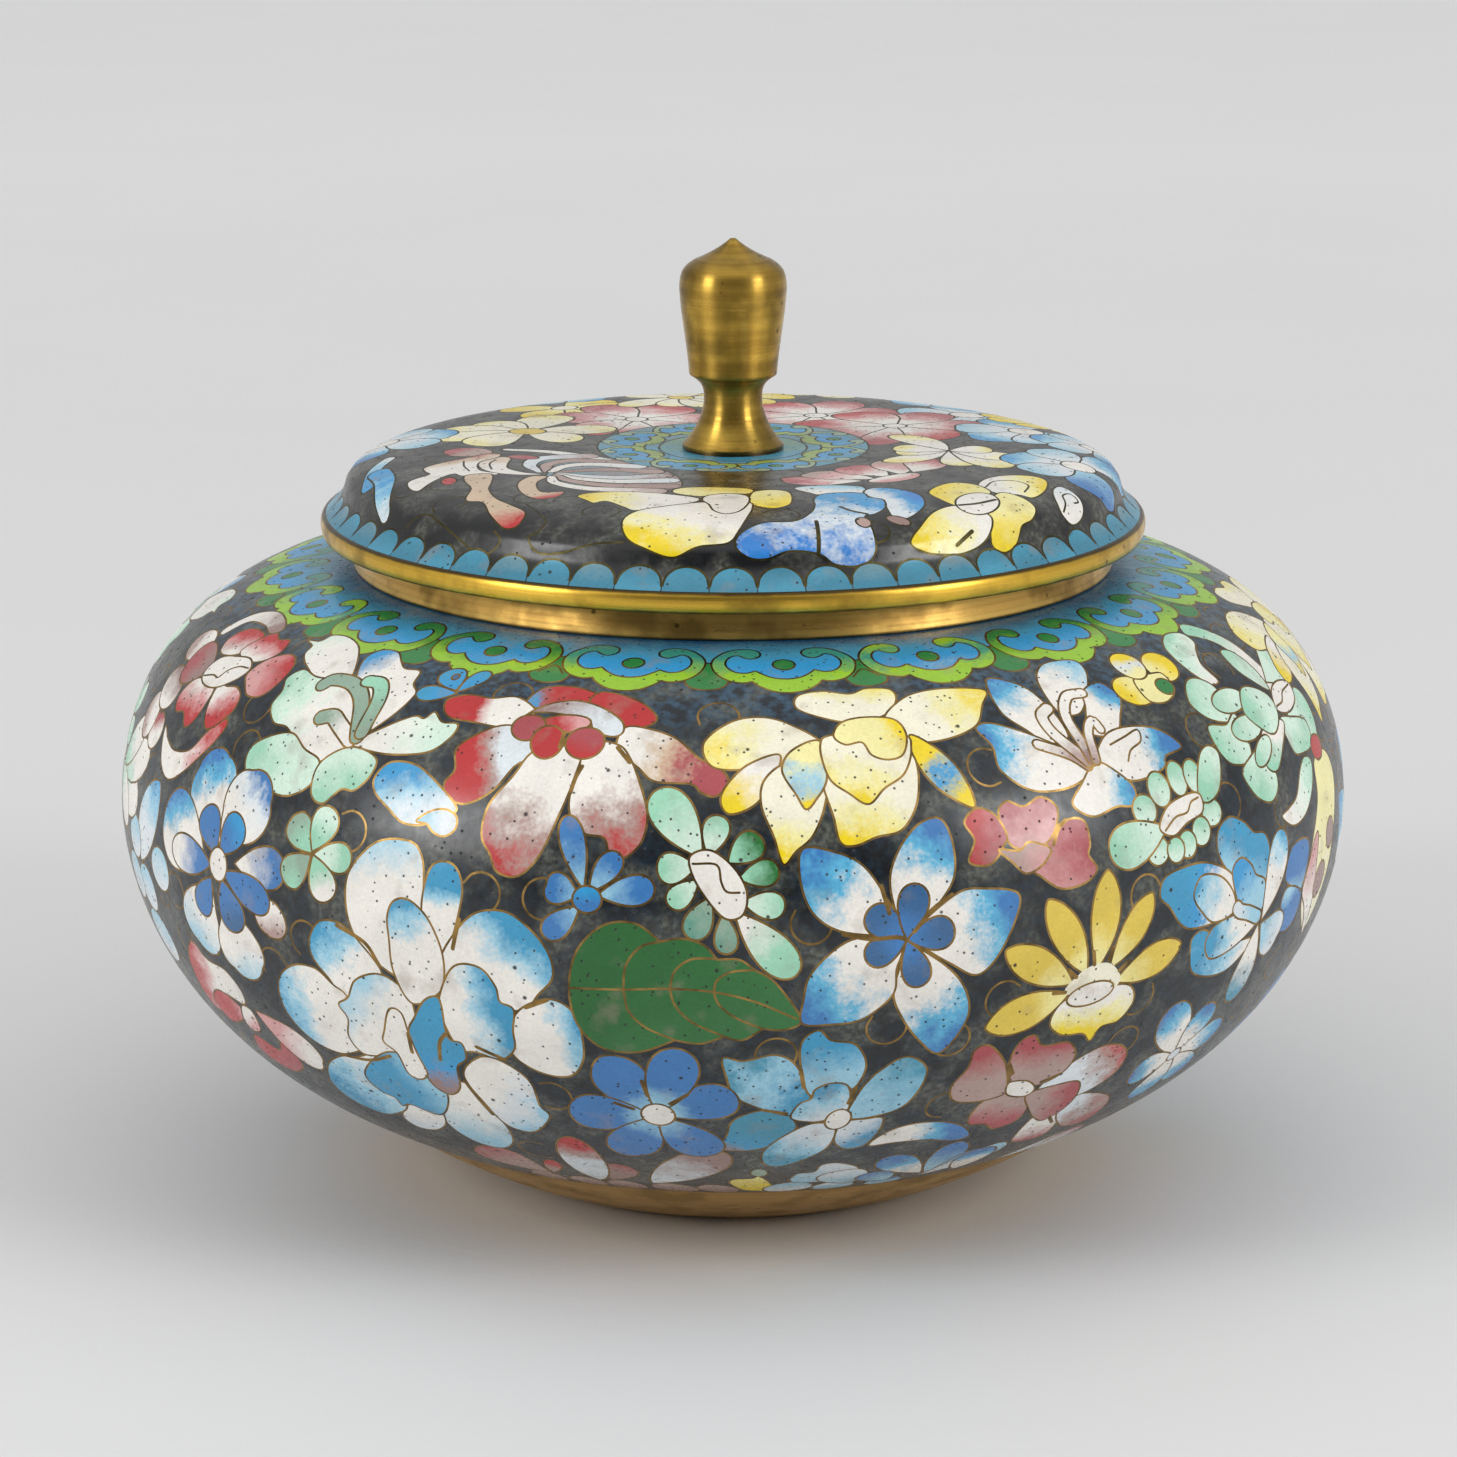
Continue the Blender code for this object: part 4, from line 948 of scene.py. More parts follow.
# Flowers of the lid
def yellow_bell(m):
    dipped = shade(WHITE, YELLOW, 0.5, 0.95, CREAM)
    m.cell([(-7, -28.5), (-5.4, -27), (-2, -26.8), (1.6, -27.6), (2.4, -29), (1.6, -30.6), (-1.4, -30.6),
           (-3.6, -32), (-6.6, -30.4)], shade(CREAM, OCHRE, 0.4, 1.0), 70)
    m.cell([(2, -31), (2.6, -29.2), (4.6, -28.4), (6.4, -29.6), (6.8, -33), (6.4, -36), (4.6, -37.6),
           (2.4, -36.4), (1.8, -34)], shade(CREAM, YELLOW, 0.2, 0.9), -50)
    m.cell([(-18, -31), (-16, -29.5), (-11, -29.5), (-7, -31), (-4, -33), (-4.4, -34.8), (-7, -36.4),
           (-11, -38), (-12.6, -36.4), (-14.6, -33.8), (-16, -34.4), (-17, -33)],
           shade(WHITE, YELLOW, 0.4, 0.9, CREAM), 175)
    m.cell([(-3.4, -35), (-5, -35.4), (-8, -36.6), (-11, -38.2), (-12.6, -41), (-12.2, -44.6), (-10, -46.6),
           (-7, -48), (-4, -47), (-0.6, -46.6), (0.6, -44.6), (1.6, -41), (2.2, -37.4), (1.6, -35)], dipped,
           235)
    m.cell([(-3.6, -33.6), (-2.8, -31.4), (-0.4, -30.6), (1.6, -31.8), (1.8, -35), (0.8, -38.6),
           (-0.8, -39.8), (-2.2, -38.6), (-2.8, -36)], plain(WHITE))


def blue_iris(m):
    m.cell([(7, -27.5), (9, -26), (12, -25.6), (15, -26.5), (15.2, -29.6), (13, -29.6), (10, -31),
           (8.8, -30)], shade(WHITE, SKY, 0.3, 0.9), 80)
    m.cell([(15.2, -28.5), (16.5, -27), (19, -27.4), (21.5, -30), (22, -34), (20.5, -38), (18.5, -39.5),
           (17.5, -36), (17.3, -33), (16, -32), (15.2, -30.4)], shade(PALE, ROYAL, 0.3, 1.0, AZURE), 20)
    m.cell([(10, -31), (12, -29.8), (15, -30), (15.6, -31.8), (17.2, -32.8), (17.4, -36), (16.2, -38.4),
           (15, -39.4), (16, -43), (16.4, -46), (14.6, -47.6), (12, -48), (9.9, -47.2), (6.5, -47.3),
           (4, -48.4), (1.8, -48.4), (0.2, -47), (1, -44.8), (3.5, -42.5), (7, -41.8), (8.8, -39), (9.3, -36),
           (9.2, -33.5)], shade(AZURE, ROYAL, 0.2, 0.9, PALE), 262)
    m.oval(18.8, -39.6, 3, 2, plain(DUSK), -20)
    m.oval(14.8, -41, 1.8, 2.4, plain(MAUVE), 10)
    m.ribs([(12.2, -36.4), (13.4, -37.8), (15.2, -38.6)], [(9.4, -41.6), (9.6, -44), (9.8, -47.2)])


def yellow_shell(m):
    m.cell([(28.6, -25), (29.4, -21), (32, -18.2), (35.4, -17.4), (37, -19), (36.6, -23), (35, -26.4),
           (33.2, -26.4), (31, -27)], shade(WHITE, YELLOW, 0.35, 0.95, CREAM), 10)
    m.cell([(22.6, -28.5), (24, -25), (26, -23.2), (28.5, -24), (30, -27), (28, -29.4), (26.6, -32),
           (25.4, -33.2), (23.5, -31)], shade(CREAM, YELLOW, 0.1, 0.9), 170)
    m.cell([(31, -26.6), (33.4, -27), (35.2, -29), (35, -31.5), (33.8, -33.6), (34, -36), (32.6, -38.2),
           (30.4, -38), (29.2, -34), (29.4, -31)], shade(CREAM, YELLOW, 0.3, 0.95), -70)
    m.cell([(25.3, -33.4), (23, -36), (21.4, -40), (20.4, -43), (22.5, -43.4), (25, -42.6), (27.5, -41.2),
           (29.6, -38.5), (29.8, -34.6), (27.6, -33.6)], shade(WHITE, YELLOW, 0.2, 0.85, CREAM), 205)
    m.oval(28.2, -31.2, 4.8, 7.8, plain(WHITE), -20)
    m.ribs([(26, -33), (28.2, -31.6), (30.4, -29.4)], [(27.6, -38.2), (26.2, -40.8)])
    m.wires([(29.4, -24.8), (30.6, -21.6), (33, -20.6), (34.6, -22), (34, -25)])


def white_bud(m):
    m.cell([(-9, -1.5), (-7.6, -3.2), (-5, -2.8), (-3, -0.5), (-2.6, 2.2), (-4.5, 2.4), (-7, 1)],
           shade(WHITE, PALE), 60)
    m.wires([(-8.4, -1.4), (-6.6, -0.4), (-5.2, 0.8), (-3.6, 0.6), (-3.9, -0.8), (-5, -0.8)])


def sky_pansy(m):
    m.petal(215, 9, 7, shade(SKY, COBALT, 0.2, 0.8), -0.6, 0, lobes=2)
    m.petal(-40, 8.6, 7, shade(PALE, COBALT, 0.3, 0.9, CYAN), 0.6, 0, lobes=2)
    m.petal(95, 8.4, 7.4, shade(PALE, AZURE, 0.4, 0.9, SKY), 0, 0.6, lobes=3)
    m.petal(150, 8, 6, shade(PALE, SKY, 0.4, 0.9), -0.4, 0.4, lobes=2)
    m.petal(35, 8, 6, shade(PALE, SKY, 0.4, 0.9), 0.4, 0.4, lobes=2)
    m.oval(0, 0, 4.6, 4.4, plain(WHITE))


def chrysanthemum(m):
    rusty = shade(TAN, RED, 0.78, 0.96)
    swept = (
        (WHITE, PALE, ((-27.4, -3), (-22, -4.4), (-17.4, -7.6), (-14, -11.6))),
        (PALE, MAUVE, ((-22.8, -17.2), (-24.2, -13), (-22.8, -8.6), (-17.5, -6.8))),
        (MAUVE, DUSK, ((-22, -17), (-22, -12.6), (-18.8, -9.8), (-13.6, -11))),
        (WHITE, PALE, ((-21.4, -17.2), (-20, -13.8), (-16.8, -12.2), (-11.6, -13.4))),
        (DUSK, MAUVE, ((-20.6, -17.8), (-18, -16.4), (-14, -15.6), (-9.5, -16.8))),
        (PALE, DUSK, ((-20.4, -18.4), (-17.4, -20), (-13, -20.8), (-8.5, -19.6))),
        (WHITE, PALE, ((-20.6, -19), (-17.8, -21.6), (-13.4, -23.2), (-7.6, -22.6))),
        (MAUVE, DUSK, ((-20.8, -19.6), (-19, -22.8), (-14.5, -25.6), (-7.4, -26.2))),
        (WHITE, MAUVE, ((-21.4, -20.4), (-20.6, -24), (-16.5, -27.4), (-9, -29))),
    )
    m.cell([(-22, -17), (-24, -12), (-22, -8), (-16, -7), (-10.6, -12), (-7.6, -17), (-6, -23), (-7, -28),
           (-14, -28.6), (-20, -25.6), (-22, -21)], shade(DUSTY_BLUE, DUSK, 0.2, 1.0), 0)
    for root, tip, line in swept:
        m.band(line, 3.0, shade(root, tip, 0.3, 1.0), 0, taper=0.6)
    m.cell([(-35, -3.4), (-33, -1.6), (-30, -2.4), (-29, -5), (-31.4, -7), (-34, -6.4)], shade(MAUVE, ROSE),
           150)
    m.oval(-25.2, -8, 4, 2.6, plain(ROSE), -20)
    m.cell([(-28, -7.8), (-26.6, -8.6), (-26.8, -12), (-26.6, -15), (-24.6, -17.6), (-22.4, -18.8),
           (-25, -19), (-28, -17.6), (-29.8, -15), (-30.4, -12), (-29.8, -9.6)], shade(WHITE, TAN, 0.4, 1.0),
           90)
    m.cell([(-36.6, -14.6), (-36.8, -12.6), (-34.8, -10.4), (-32, -8), (-29.6, -5.6), (-28, -6), (-28.2, -8),
           (-30, -10.4), (-30.4, -13), (-29.8, -16), (-27.6, -18), (-29, -18.8), (-32, -18.4), (-33, -17),
           (-34.4, -18.6), (-35.6, -20.6), (-36.8, -22.8), (-37.8, -22), (-38.4, -20), (-38.2, -18.2),
           (-36, -16.4)], shade(WHITE, ROSE, 0.6, 1.05, TAN), 120)
    m.cell([(-31.4, -18.2), (-28.6, -18), (-28.2, -22), (-28.4, -26), (-27.4, -30), (-25.6, -33),
           (-23.8, -36), (-24.6, -38.6), (-26.4, -38.4), (-28, -35), (-29, -31), (-31, -29.4), (-30.6, -25),
           (-31.6, -21)], rusty, -75)
    m.cell([(-23.6, -19.8), (-21.8, -20.2), (-22.8, -23), (-22.8, -26), (-22, -28.6), (-19.6, -28.8),
           (-20.4, -31.2), (-22.6, -31.6), (-24.4, -29), (-25.2, -25), (-24.8, -22)], rusty, -70)
    m.oval(-33.4, -20.6, 1.9, 3.4, plain(RED), 5)
    m.wires([(-31.2, -16), (-32, -13), (-32.2, -10)], [(-28.6, -15.4), (-29, -12), (-28.4, -9.4)],
            [(-39.5, -29), (-36, -29.8), (-34, -33.2), (-31.6, -38), (-29.6, -40.2), (-27.2, -39.8),
            (-27.6, -38.2)], [(-23.8, -33.4), (-22.4, -36.4), (-21.4, -39.2), (-22.4, -40.8), (-23.6, -41),
            (-23, -43.2), (-20, -44.4), (-16, -44.6), (-12.6, -45.2)])


def cream_daisy(m):
    m.fan(shade(IVORY, OCHRE, 0.6, 1.25, CREAM), (125, 10.5, 6.2), (65, 8.6, 6.2), (195, 12.5, 6.2),
          (240, 9.5, 6.2), (275, 11, 6.2), (308, 13, 6.2), (338, 12, 6.2))
    m.oval(0, 0, 4, 4.6, plain(OCHRE), 20)


def long_petalled(m):
    m.fan(shade(WHITE, OCHRE, 0.5, 1.2, CREAM), (150, 10, 4.8), (108, 6.5, 4.8), (78, 7, 4.8),
          (28, 11.5, 4.8), (204, 10.5, 4.8), (224, 13, 4.8), (248, 9.5, 4.8), (290, 5.5, 4.8))


def blue_streamer(m):
    m.band([(-41.5, -4.5), (-43, -9), (-43.6, -15)], 2.3, shade(PALE, AZURE, 0.1, 0.8, SKY), 255, taper=0.3)
    m.band([(-42.4, -11), (-41.4, -16), (-41.8, -24)], 2.3, shade(AZURE, PALE, 0.3, 1.1, SKY), 270,
           taper=-0.3)


def pink_lobes(m):
    for step in range(5):
        tint = shade(WHITE, (ROSE, MAUVE)[step % 2], 0.3, 0.9, PINK)
        m.petal(150 - 33 * step, 8.4, 5.2, tint, -4 + 2 * step, -1, lobes=2)
    m.oval(0, -2, 8, 3.4, shade(PINK, WHITE))


def red_tuft(m):
    for index in range(7):
        tip = RED if index % 3 == 0 else ROSE
        m.petal(20 + index * 51, 11.4, 6, shade(WHITE, tip, 0.3, 0.85, PINK), 0, 0, lobes=2)
    m.oval(0, 0, 3, 2.8, plain(WHITE))


def gold_tuft(m):
    for angle in (190, 145, 100, 55, 10, -60):
        m.petal(angle, 8.6, 5, shade(CREAM, YELLOW, 0.2, 0.8), 0, 0, lobes=2)
    m.oval(0, 0, 3.6, 3.2, plain(IVORY))


# Borders
class MiddleMotif(Motif):
    """A frame whose origin is the middle of the lid, as flat as its top."""

    def to_surface(self, points):
        azimuth, distance = self.surface.unflat(points)
        return azimuth, np.clip(distance, 0.02, None)

    def from_surface(self, azimuth, distance):
        return self.surface.flat(azimuth, distance)


def cloud_head(m, band_tint):
    """A cloud scroll: blue inside, with a lobed green band whose ends curl in."""
    half_band = [(1.9, -5.6), (3.4, -4.5), (3.9, -3.7), (3.9, -3.7), (5, -4), (6.6, -3.5), (7.7, -2.2),
                 (8.1, -0.5), (7.9, 1), (7.1, 2.5), (5.7, 4), (4.1, 4.6), (2.8, 4.2), (2.3, 3.2), (2.6, 2.1),
                 (3.5, 1.6), (4.3, 2), (4.9, 2.6), (5.7, 2.2), (6.3, 1.2), (6.5, 0.1), (6.2, -1), (5.4, -1.8),
                 (4.3, -1.9), (3.3, -1.4), (3.3, -1.4), (2.6, -2.2), (1.5, -3)]
    other_half = [(-x, y) for x, y in reversed(half_band)]
    m.cell([(0, -5), (3.4, -3.8), (7, -2), (7.3, 1), (5.5, 3.6), (2.6, 3.6), (0, 3.4), (-2.6, 3.6),
            (-5.5, 3.6), (-7.3, 1), (-7, -2), (-3.4, -3.8)], shade(AZURE, TURQUOISE, 0.5, 1.0), wire=0.0)
    m.cell([(0, -6)] + half_band + [(0, -3.3)] + other_half, band_tint)
    m.oval(0, 0, 2.5, 2.6, plain(JEWEL))


def cloud_ring(bowl):
    """The ring of cloud heads on the shoulder, over a turquoise band with painted shade and grime towards the
    collar.
    """
    count = 20
    first = 6.0
    head_distance = 9.0
    band_foot = 8.4
    grime_and_shade_width = 1.3
    overlap = 0.05
    heads = [Motif(bowl, first + 360 / count * index, head_distance) for index in range(count)]
    gaps = [Motif(bowl, first + 360 / count * (index + 0.5), head_distance) for index in range(count)]
    bands = (shade(LIME, TEAL, 0.3, 0.75), shade(LIME, JEWEL, 0.25, 0.8), shade(LIME, LIME, 0.3, 0.9, TEAL))
    top = head_distance - 0.02
    foot = head_distance - band_foot
    wide, narrow = (pi / count * bowl.radius_at(distance) + overlap for distance in (band_foot, 0.0))
    for m in heads:
        m.outline(closed_loop([(-narrow, top), (narrow, top), (wide, foot), (-wide, foot)]),
                  # The band darkens towards the collar: painted shade under the lid's rim.
                  shade(TURQUOISE, DEEP, 0.3, 0.9), wire=0.0)
        # A strip along the collar: grime, darkened further as painted shade in the corner under the rim.
        m.outline(closed_loop([(-narrow, top), (narrow, top), (narrow, top - grime_and_shade_width), (-narrow, top - grime_and_shade_width)]),
                  shade(DEEP, GRIME_AND_SHADE, 0.1, 0.9), wire=0.0)
    for index, m in enumerate(gaps):
        m.cell([(0, 0.4), (1.6, -0.8), (2.5, -3), (1.9, -4.8), (0, -5.4), (-1.9, -4.8), (-2.5, -3),
                (-1.6, -0.8)], plain(JEWEL))
        if index % 3 == 0:
            m.wires([(-1.5, -3.4), (0, -1.8), (1.5, -3.4)])
    for index, m in enumerate(heads):
        cloud_head(m, bands[index * 7 % 5 % 3])


def lid_border(lid):
    """Turquoise scallops under inverted arches, around the lid's edge."""
    count = 57
    distance = 50.5
    tints = (shade(LAGOON, TURQUOISE, 0.2, 1.0), shade(LAGOON, DUSTY_BLUE, 0.3, 1.0),
             shade(TURQUOISE, LAGOON, 0.2, 0.8))
    for index in range(count):
        m = Motif(lid, 360 / count * index, distance)
        half = pi / count * lid.radius_at(distance)
        foot = distance - lid.length + 0.03
        arch = [(-half, -1.5), (-half * 0.86, -0.2), (-half * 0.5, 0.7), (0, 1.0), (half * 0.5, 0.7),
                (half * 0.86, -0.2), (half, -1.5)]
        m.outline(np.vstack([open_curve(arch)[::-1], [(-half, foot), (0, foot), (half, foot)]]),
                  tints[index * 5 % 7 % 3], 90, wire=0.0)
        m.wires(arch)


def medallion(lid):
    """The turquoise disc around the knob, with cloud heads edged in green."""
    middle = MiddleMotif(lid, 0, 0)
    middle.oval(0, 0, 33, 33, shade(TURQUOISE, DUSTY_BLUE), 0)
    count = 8
    for index in range(count):
        m = Motif(lid, 360 / count * (index + 0.5), 13.4, turn=180, size=0.68)
        cloud_head(m, shade(OLIVE, SAGE, 0.2, 0.9))
    middle.oval(0, 0, 18, 18, shade(TURQUOISE, OLIVE, 0.3, 1.2), -90)


# Where the flowers are: the flower, its azimuth and its distance along the surface
def front_flowers(bowl):
    for draw, azimuth, distance in (
        (pale_blue_leafed, -74, 38), (mint_fan, -76, 38), (red_tongues, -60, 62), (pink_row, -18, 86),
        (blue_row, 14, 86), (light_tips, 34, 86), (red_rose, -63.8, 22.7), (mint_magnolia, -41.2, 21.9),
        (blue_bud, -32, 17.3), (red_poppy, -15, 23), (blue_butterfly, -30.2, 31.7), (blue_rose, -52, 44.2),
        (mint_clover, -39.2, 39.2), (peony, -26.3, 56.9), (blue_sprig, -12.2, 41), (green_leaf, -5.5, 50.2),
        (mint_daisy, -1.2, 39.2), (turquoise_rose, 10, 70), (cobalt_daisy, -7, 68.3),
        (yellow_rose, 12.8, 24.2), (blue_star, 14.5, 46), (blue_lily, 35.2, 25.4),
        (pink_butterfly, 26.8, 36.9), (mint_daisy_lying, 43, 36), (yellow_butterfly, 47, 20.2),
        (mint_rose, 59, 27.9), (cream_sash, 66, 48), (cobalt_wings, 66, 48), (cerulean_rose, 48, 47.5),
        (yellow_daisy, 32.5, 54.6), (dull_rose, 28, 68.1), (blue_pinwheel, 49.2, 68.5),
    ):
        draw(Motif(bowl, azimuth, distance))


def back_flowers(bowl):
    """The same flowers again where the photograph doesn't show the bowl."""
    shoulder = (yellow_rose, mint_magnolia, red_poppy, blue_lily, mint_rose, red_rose)
    belly = (blue_star, peony, yellow_daisy, blue_rose, cerulean_rose, green_leaf, dull_rose)
    under = (cobalt_daisy, turquoise_rose, blue_pinwheel, dull_rose)
    small = (yellow_butterfly, mint_clover, blue_butterfly, pink_butterfly, blue_sprig, mint_daisy)
    for index, draw in zip(range(8), cycle(shoulder)):
        turn = index * 37 % 23 - 11
        draw(Motif(bowl, 86 + 25.4 * index, 24 + index % 2, turn, mirrored=index % 2 == 1))
    for index, draw in zip(range(8), cycle(small)):
        draw(Motif(bowl, 98 + 25.4 * index, 35.5, index * 53 % 60 - 30))
    for index, draw in enumerate(belly):
        draw(Motif(bowl, 84 + 29.0 * index, 50.5, index * 41 % 31 - 15, 0.92, index % 2 == 0))
    for index, draw in zip(range(7), cycle(small[3:] + small[:3])):
        draw(Motif(bowl, 98 + 29.0 * index, 60, index * 71 % 90 - 45))
    for index, draw in zip(range(9), cycle(under)):
        draw(Motif(bowl, 72 + 25.0 * index, 71.5, index * 47, 0.9))
    for index, draw in zip(range(6), cycle((pink_row, blue_row, light_tips))):
        draw(Motif(bowl, 66 + 42.0 * index, 87))


def lid_flowers(lid):
    middle = MiddleMotif(lid, 0, 0)
    for draw, azimuth, distance, turn in (
        (gold_tuft, -141, 34, 10), (red_tuft, -146, 21.6, 40), (cream_daisy, -110, 27, 0),
        (sky_pansy, 127, 37, 0), (red_tuft, 153, 23, 0), (red_tuft, 123, 24, 20), (pink_lobes, 42, 26.5, 0),
        (long_petalled, 82, 26.3, 0), (sky_pansy, -100, 44, 20), (sky_pansy, 107, 38, 30),
        (white_bud, 66, 45.8, 0), (sky_pansy, 78, 42.4, 0),
    ):
        draw(Motif(lid, azimuth, distance, turn))
    outer = (sky_pansy, gold_tuft, sky_pansy, cream_daisy, red_tuft, sky_pansy)
    for index, draw in enumerate(outer):
        draw(Motif(lid, 98 + 22.5 * index, 45, index * 29 % 25 - 12, 0.85, index % 2 == 0))
    for azimuth, draw in ((178, gold_tuft), (-169, cream_daisy)):
        draw(Motif(lid, azimuth, 35, turn=azimuth, size=0.8))
    for draw in (blue_streamer, chrysanthemum, yellow_bell, blue_iris, yellow_shell):
        draw(middle)


def inside(outline, points):
    """Which points a counter-clockwise outline goes around."""
    x0, y0 = outline.T
    x1, y1 = np.roll(outline, -1, axis=0).T
    px, py = points[:, :1], points[:, 1:]
    side = (x1 - x0) * (py - y0) - (px - x0) * (y1 - y0)
    upward = (y0 <= py) & (y1 > py) & (side > 0)
    downward = (y0 > py) & (y1 <= py) & (side < 0)
    return upward.sum(axis=1) > downward.sum(axis=1)


def inside_box(outline, points):
    """Numbers of the points that lie in the outline's box, and then in the outline."""
    low, high = outline.min(axis=0), outline.max(axis=0)
    near = np.nonzero(np.all((points >= low) & (points <= high), axis=1))[0]
    return near[inside(outline, points[near])] if len(near) else near


def front_curls(bowl):
    """The front's curls: azimuth, distance, and the direction that each opens to."""
    reach, opening = 2.3, 120
    turns = np.linspace(radians(opening / 2), radians(360 - opening / 2), 8)
    for azimuth, distance, toward in (
        (-54.5, 16.2, 270), (-53.2, 25.4, 90), (-51.5, 30.6, 270), (-35.5, 36.7, 190), (-40, 50.2, 300),
        (-44.8, 54.8, 270), (-21.8, 41.3, 215), (-16.2, 41.3, 0), (-23.5, 17.3, 270), (-1.5, 19, 270),
        (-2, 11.3, 90), (6.5, 43.3, 80), (23.8, 27.3, 0), (38, 44.4, 315), (50, 36.7, 200), (50, 27.9, 0),
        (23.8, 54, 340), (13.2, 56, 80), (19.2, 58.5, 135), (20.5, 69.2, 330), (3.7, 59.2, 270),
        (38.5, 57.1, 100), (38.5, 63.5, 225), (-17, 66.9, 180), (-21.5, 79.8, 0),
    ):
        angles = turns + radians(toward)
        Motif(bowl, azimuth, distance).wires(np.column_stack([np.cos(angles), np.sin(angles)]) * reach)


def ground_curls(surface, first, last, rng, bare=0):
    """Curls of wire in the black ground between the flowers, but not this near to the front."""
    radius = 2.3
    spacing = 5.4
    curls = []
    kept = []
    for distance in np.arange(first, last, spacing):
        count = int(tau * surface.radius_at(distance) / spacing)
        for index in range(count):
            azimuth = 360 / count * (index + rng.uniform(-0.3, 0.3)) - 180
            spot = distance + rng.uniform(-1.6, 1.6)
            open_from, size = rng.uniform(0, tau), radius * rng.uniform(0.75, 1.1)
            turns = open_from + np.linspace(0.0, radians(265), 9)
            arc = np.column_stack([np.cos(turns), np.sin(turns)]) * size
            m = Motif(surface, azimuth, spot)
            flat = m.flat(np.vstack([arc, [(0, 0)]]))
            covered = np.zeros(len(flat), bool)
            for cell in surface.cells:
                covered[inside_box(cell.fill if cell.fill is not None else cell.edge, flat)] = True
            crowded = any(hypot(*(flat[-1] - other)) < 2.1 * radius for other in kept)
            if abs(azimuth) < bare or covered[-1] or crowded or covered[:-1].mean() > 0.35:
                continue
            kept.append(flat[-1])
            curls.append((m, arc))
    drawn = surface.cells
    surface.cells = []
    for m, arc in curls:
        m.wires(arc)
    surface.cells += drawn


GROUND_KIND, ENAMEL_KIND, WIRE_KIND = range(3)


def triangulated(surface, sector_edges, ground_step):
    """Triangles of the surface's flat map that follow every wire, and what each one is."""
    outlines = []
    for cell in surface.cells:
        outlines += [line for line in (cell.edge, cell.fill) if line is not None]
    rims = [surface.length] + ([0.0] if surface.hole else [])
    round_the_rim = np.linspace(-pi, pi, 480, endpoint=False)
    for distance in rims:
        outlines.append(surface.flat(round_the_rim, np.full(len(round_the_rim), distance)))
    spots = list(outlines)
    edges = []
    count = 0
    for line in outlines:
        numbers = count + np.arange(len(line))
        edges.append(np.column_stack([numbers, np.roll(numbers, -1)]))
        count += len(line)
    for azimuth in sector_edges:
        steps = ceil(surface.length / ground_step)
        line = surface.flat(np.full(steps + 1, azimuth), np.linspace(0.0, surface.length, steps + 1))
        spots.append(line)
        numbers = count + np.arange(len(line))
        edges.append(np.column_stack([numbers[:-1], numbers[1:]]))
        count += len(line)
    for row, distance in enumerate(np.arange(ground_step, surface.length - ground_step / 2, ground_step)):
        around = max(12, int(tau * surface.radius_at(distance) / ground_step))
        shift = 0.5 * (row % 2)
        azimuth = (np.arange(around) + shift) * tau / around
        spots.append(surface.flat(azimuth, np.full(around, distance)))
    vertices = [Vector(spot) for spot in np.concatenate(spots)]
    pairs = [tuple(pair) for pair in np.concatenate(edges).tolist()]
    made = delaunay_2d_cdt(vertices, pairs, [], 0, 1e-4, False)
    flat = np.array([tuple(v) for v in made[0]])
    faces = np.array(made[2])
    middles = flat[faces].mean(axis=1)
    reach = np.hypot(middles[:, 0], middles[:, 1])
    faces = faces[(reach > surface.hole) & (reach < surface.hole + surface.length)]
    middles = flat[faces].mean(axis=1)
    owner = np.full(len(faces), -1)
    kind = np.full(len(faces), GROUND_KIND)
    for number, cell in enumerate(surface.cells):
        if cell.edge is not None:
            kind[inside_box(cell.edge, middles)] = WIRE_KIND
        if cell.fill is not None:
            filled = inside_box(cell.fill, middles)
            kind[filled] = ENAMEL_KIND
            owner[filled] = number
    return flat, faces, kind, owner


def placed(name, data):
    """A new object in the scene."""
    piece = bpy.data.objects.new(name, data)
    bpy.context.scene.collection.objects.link(piece)
    return piece


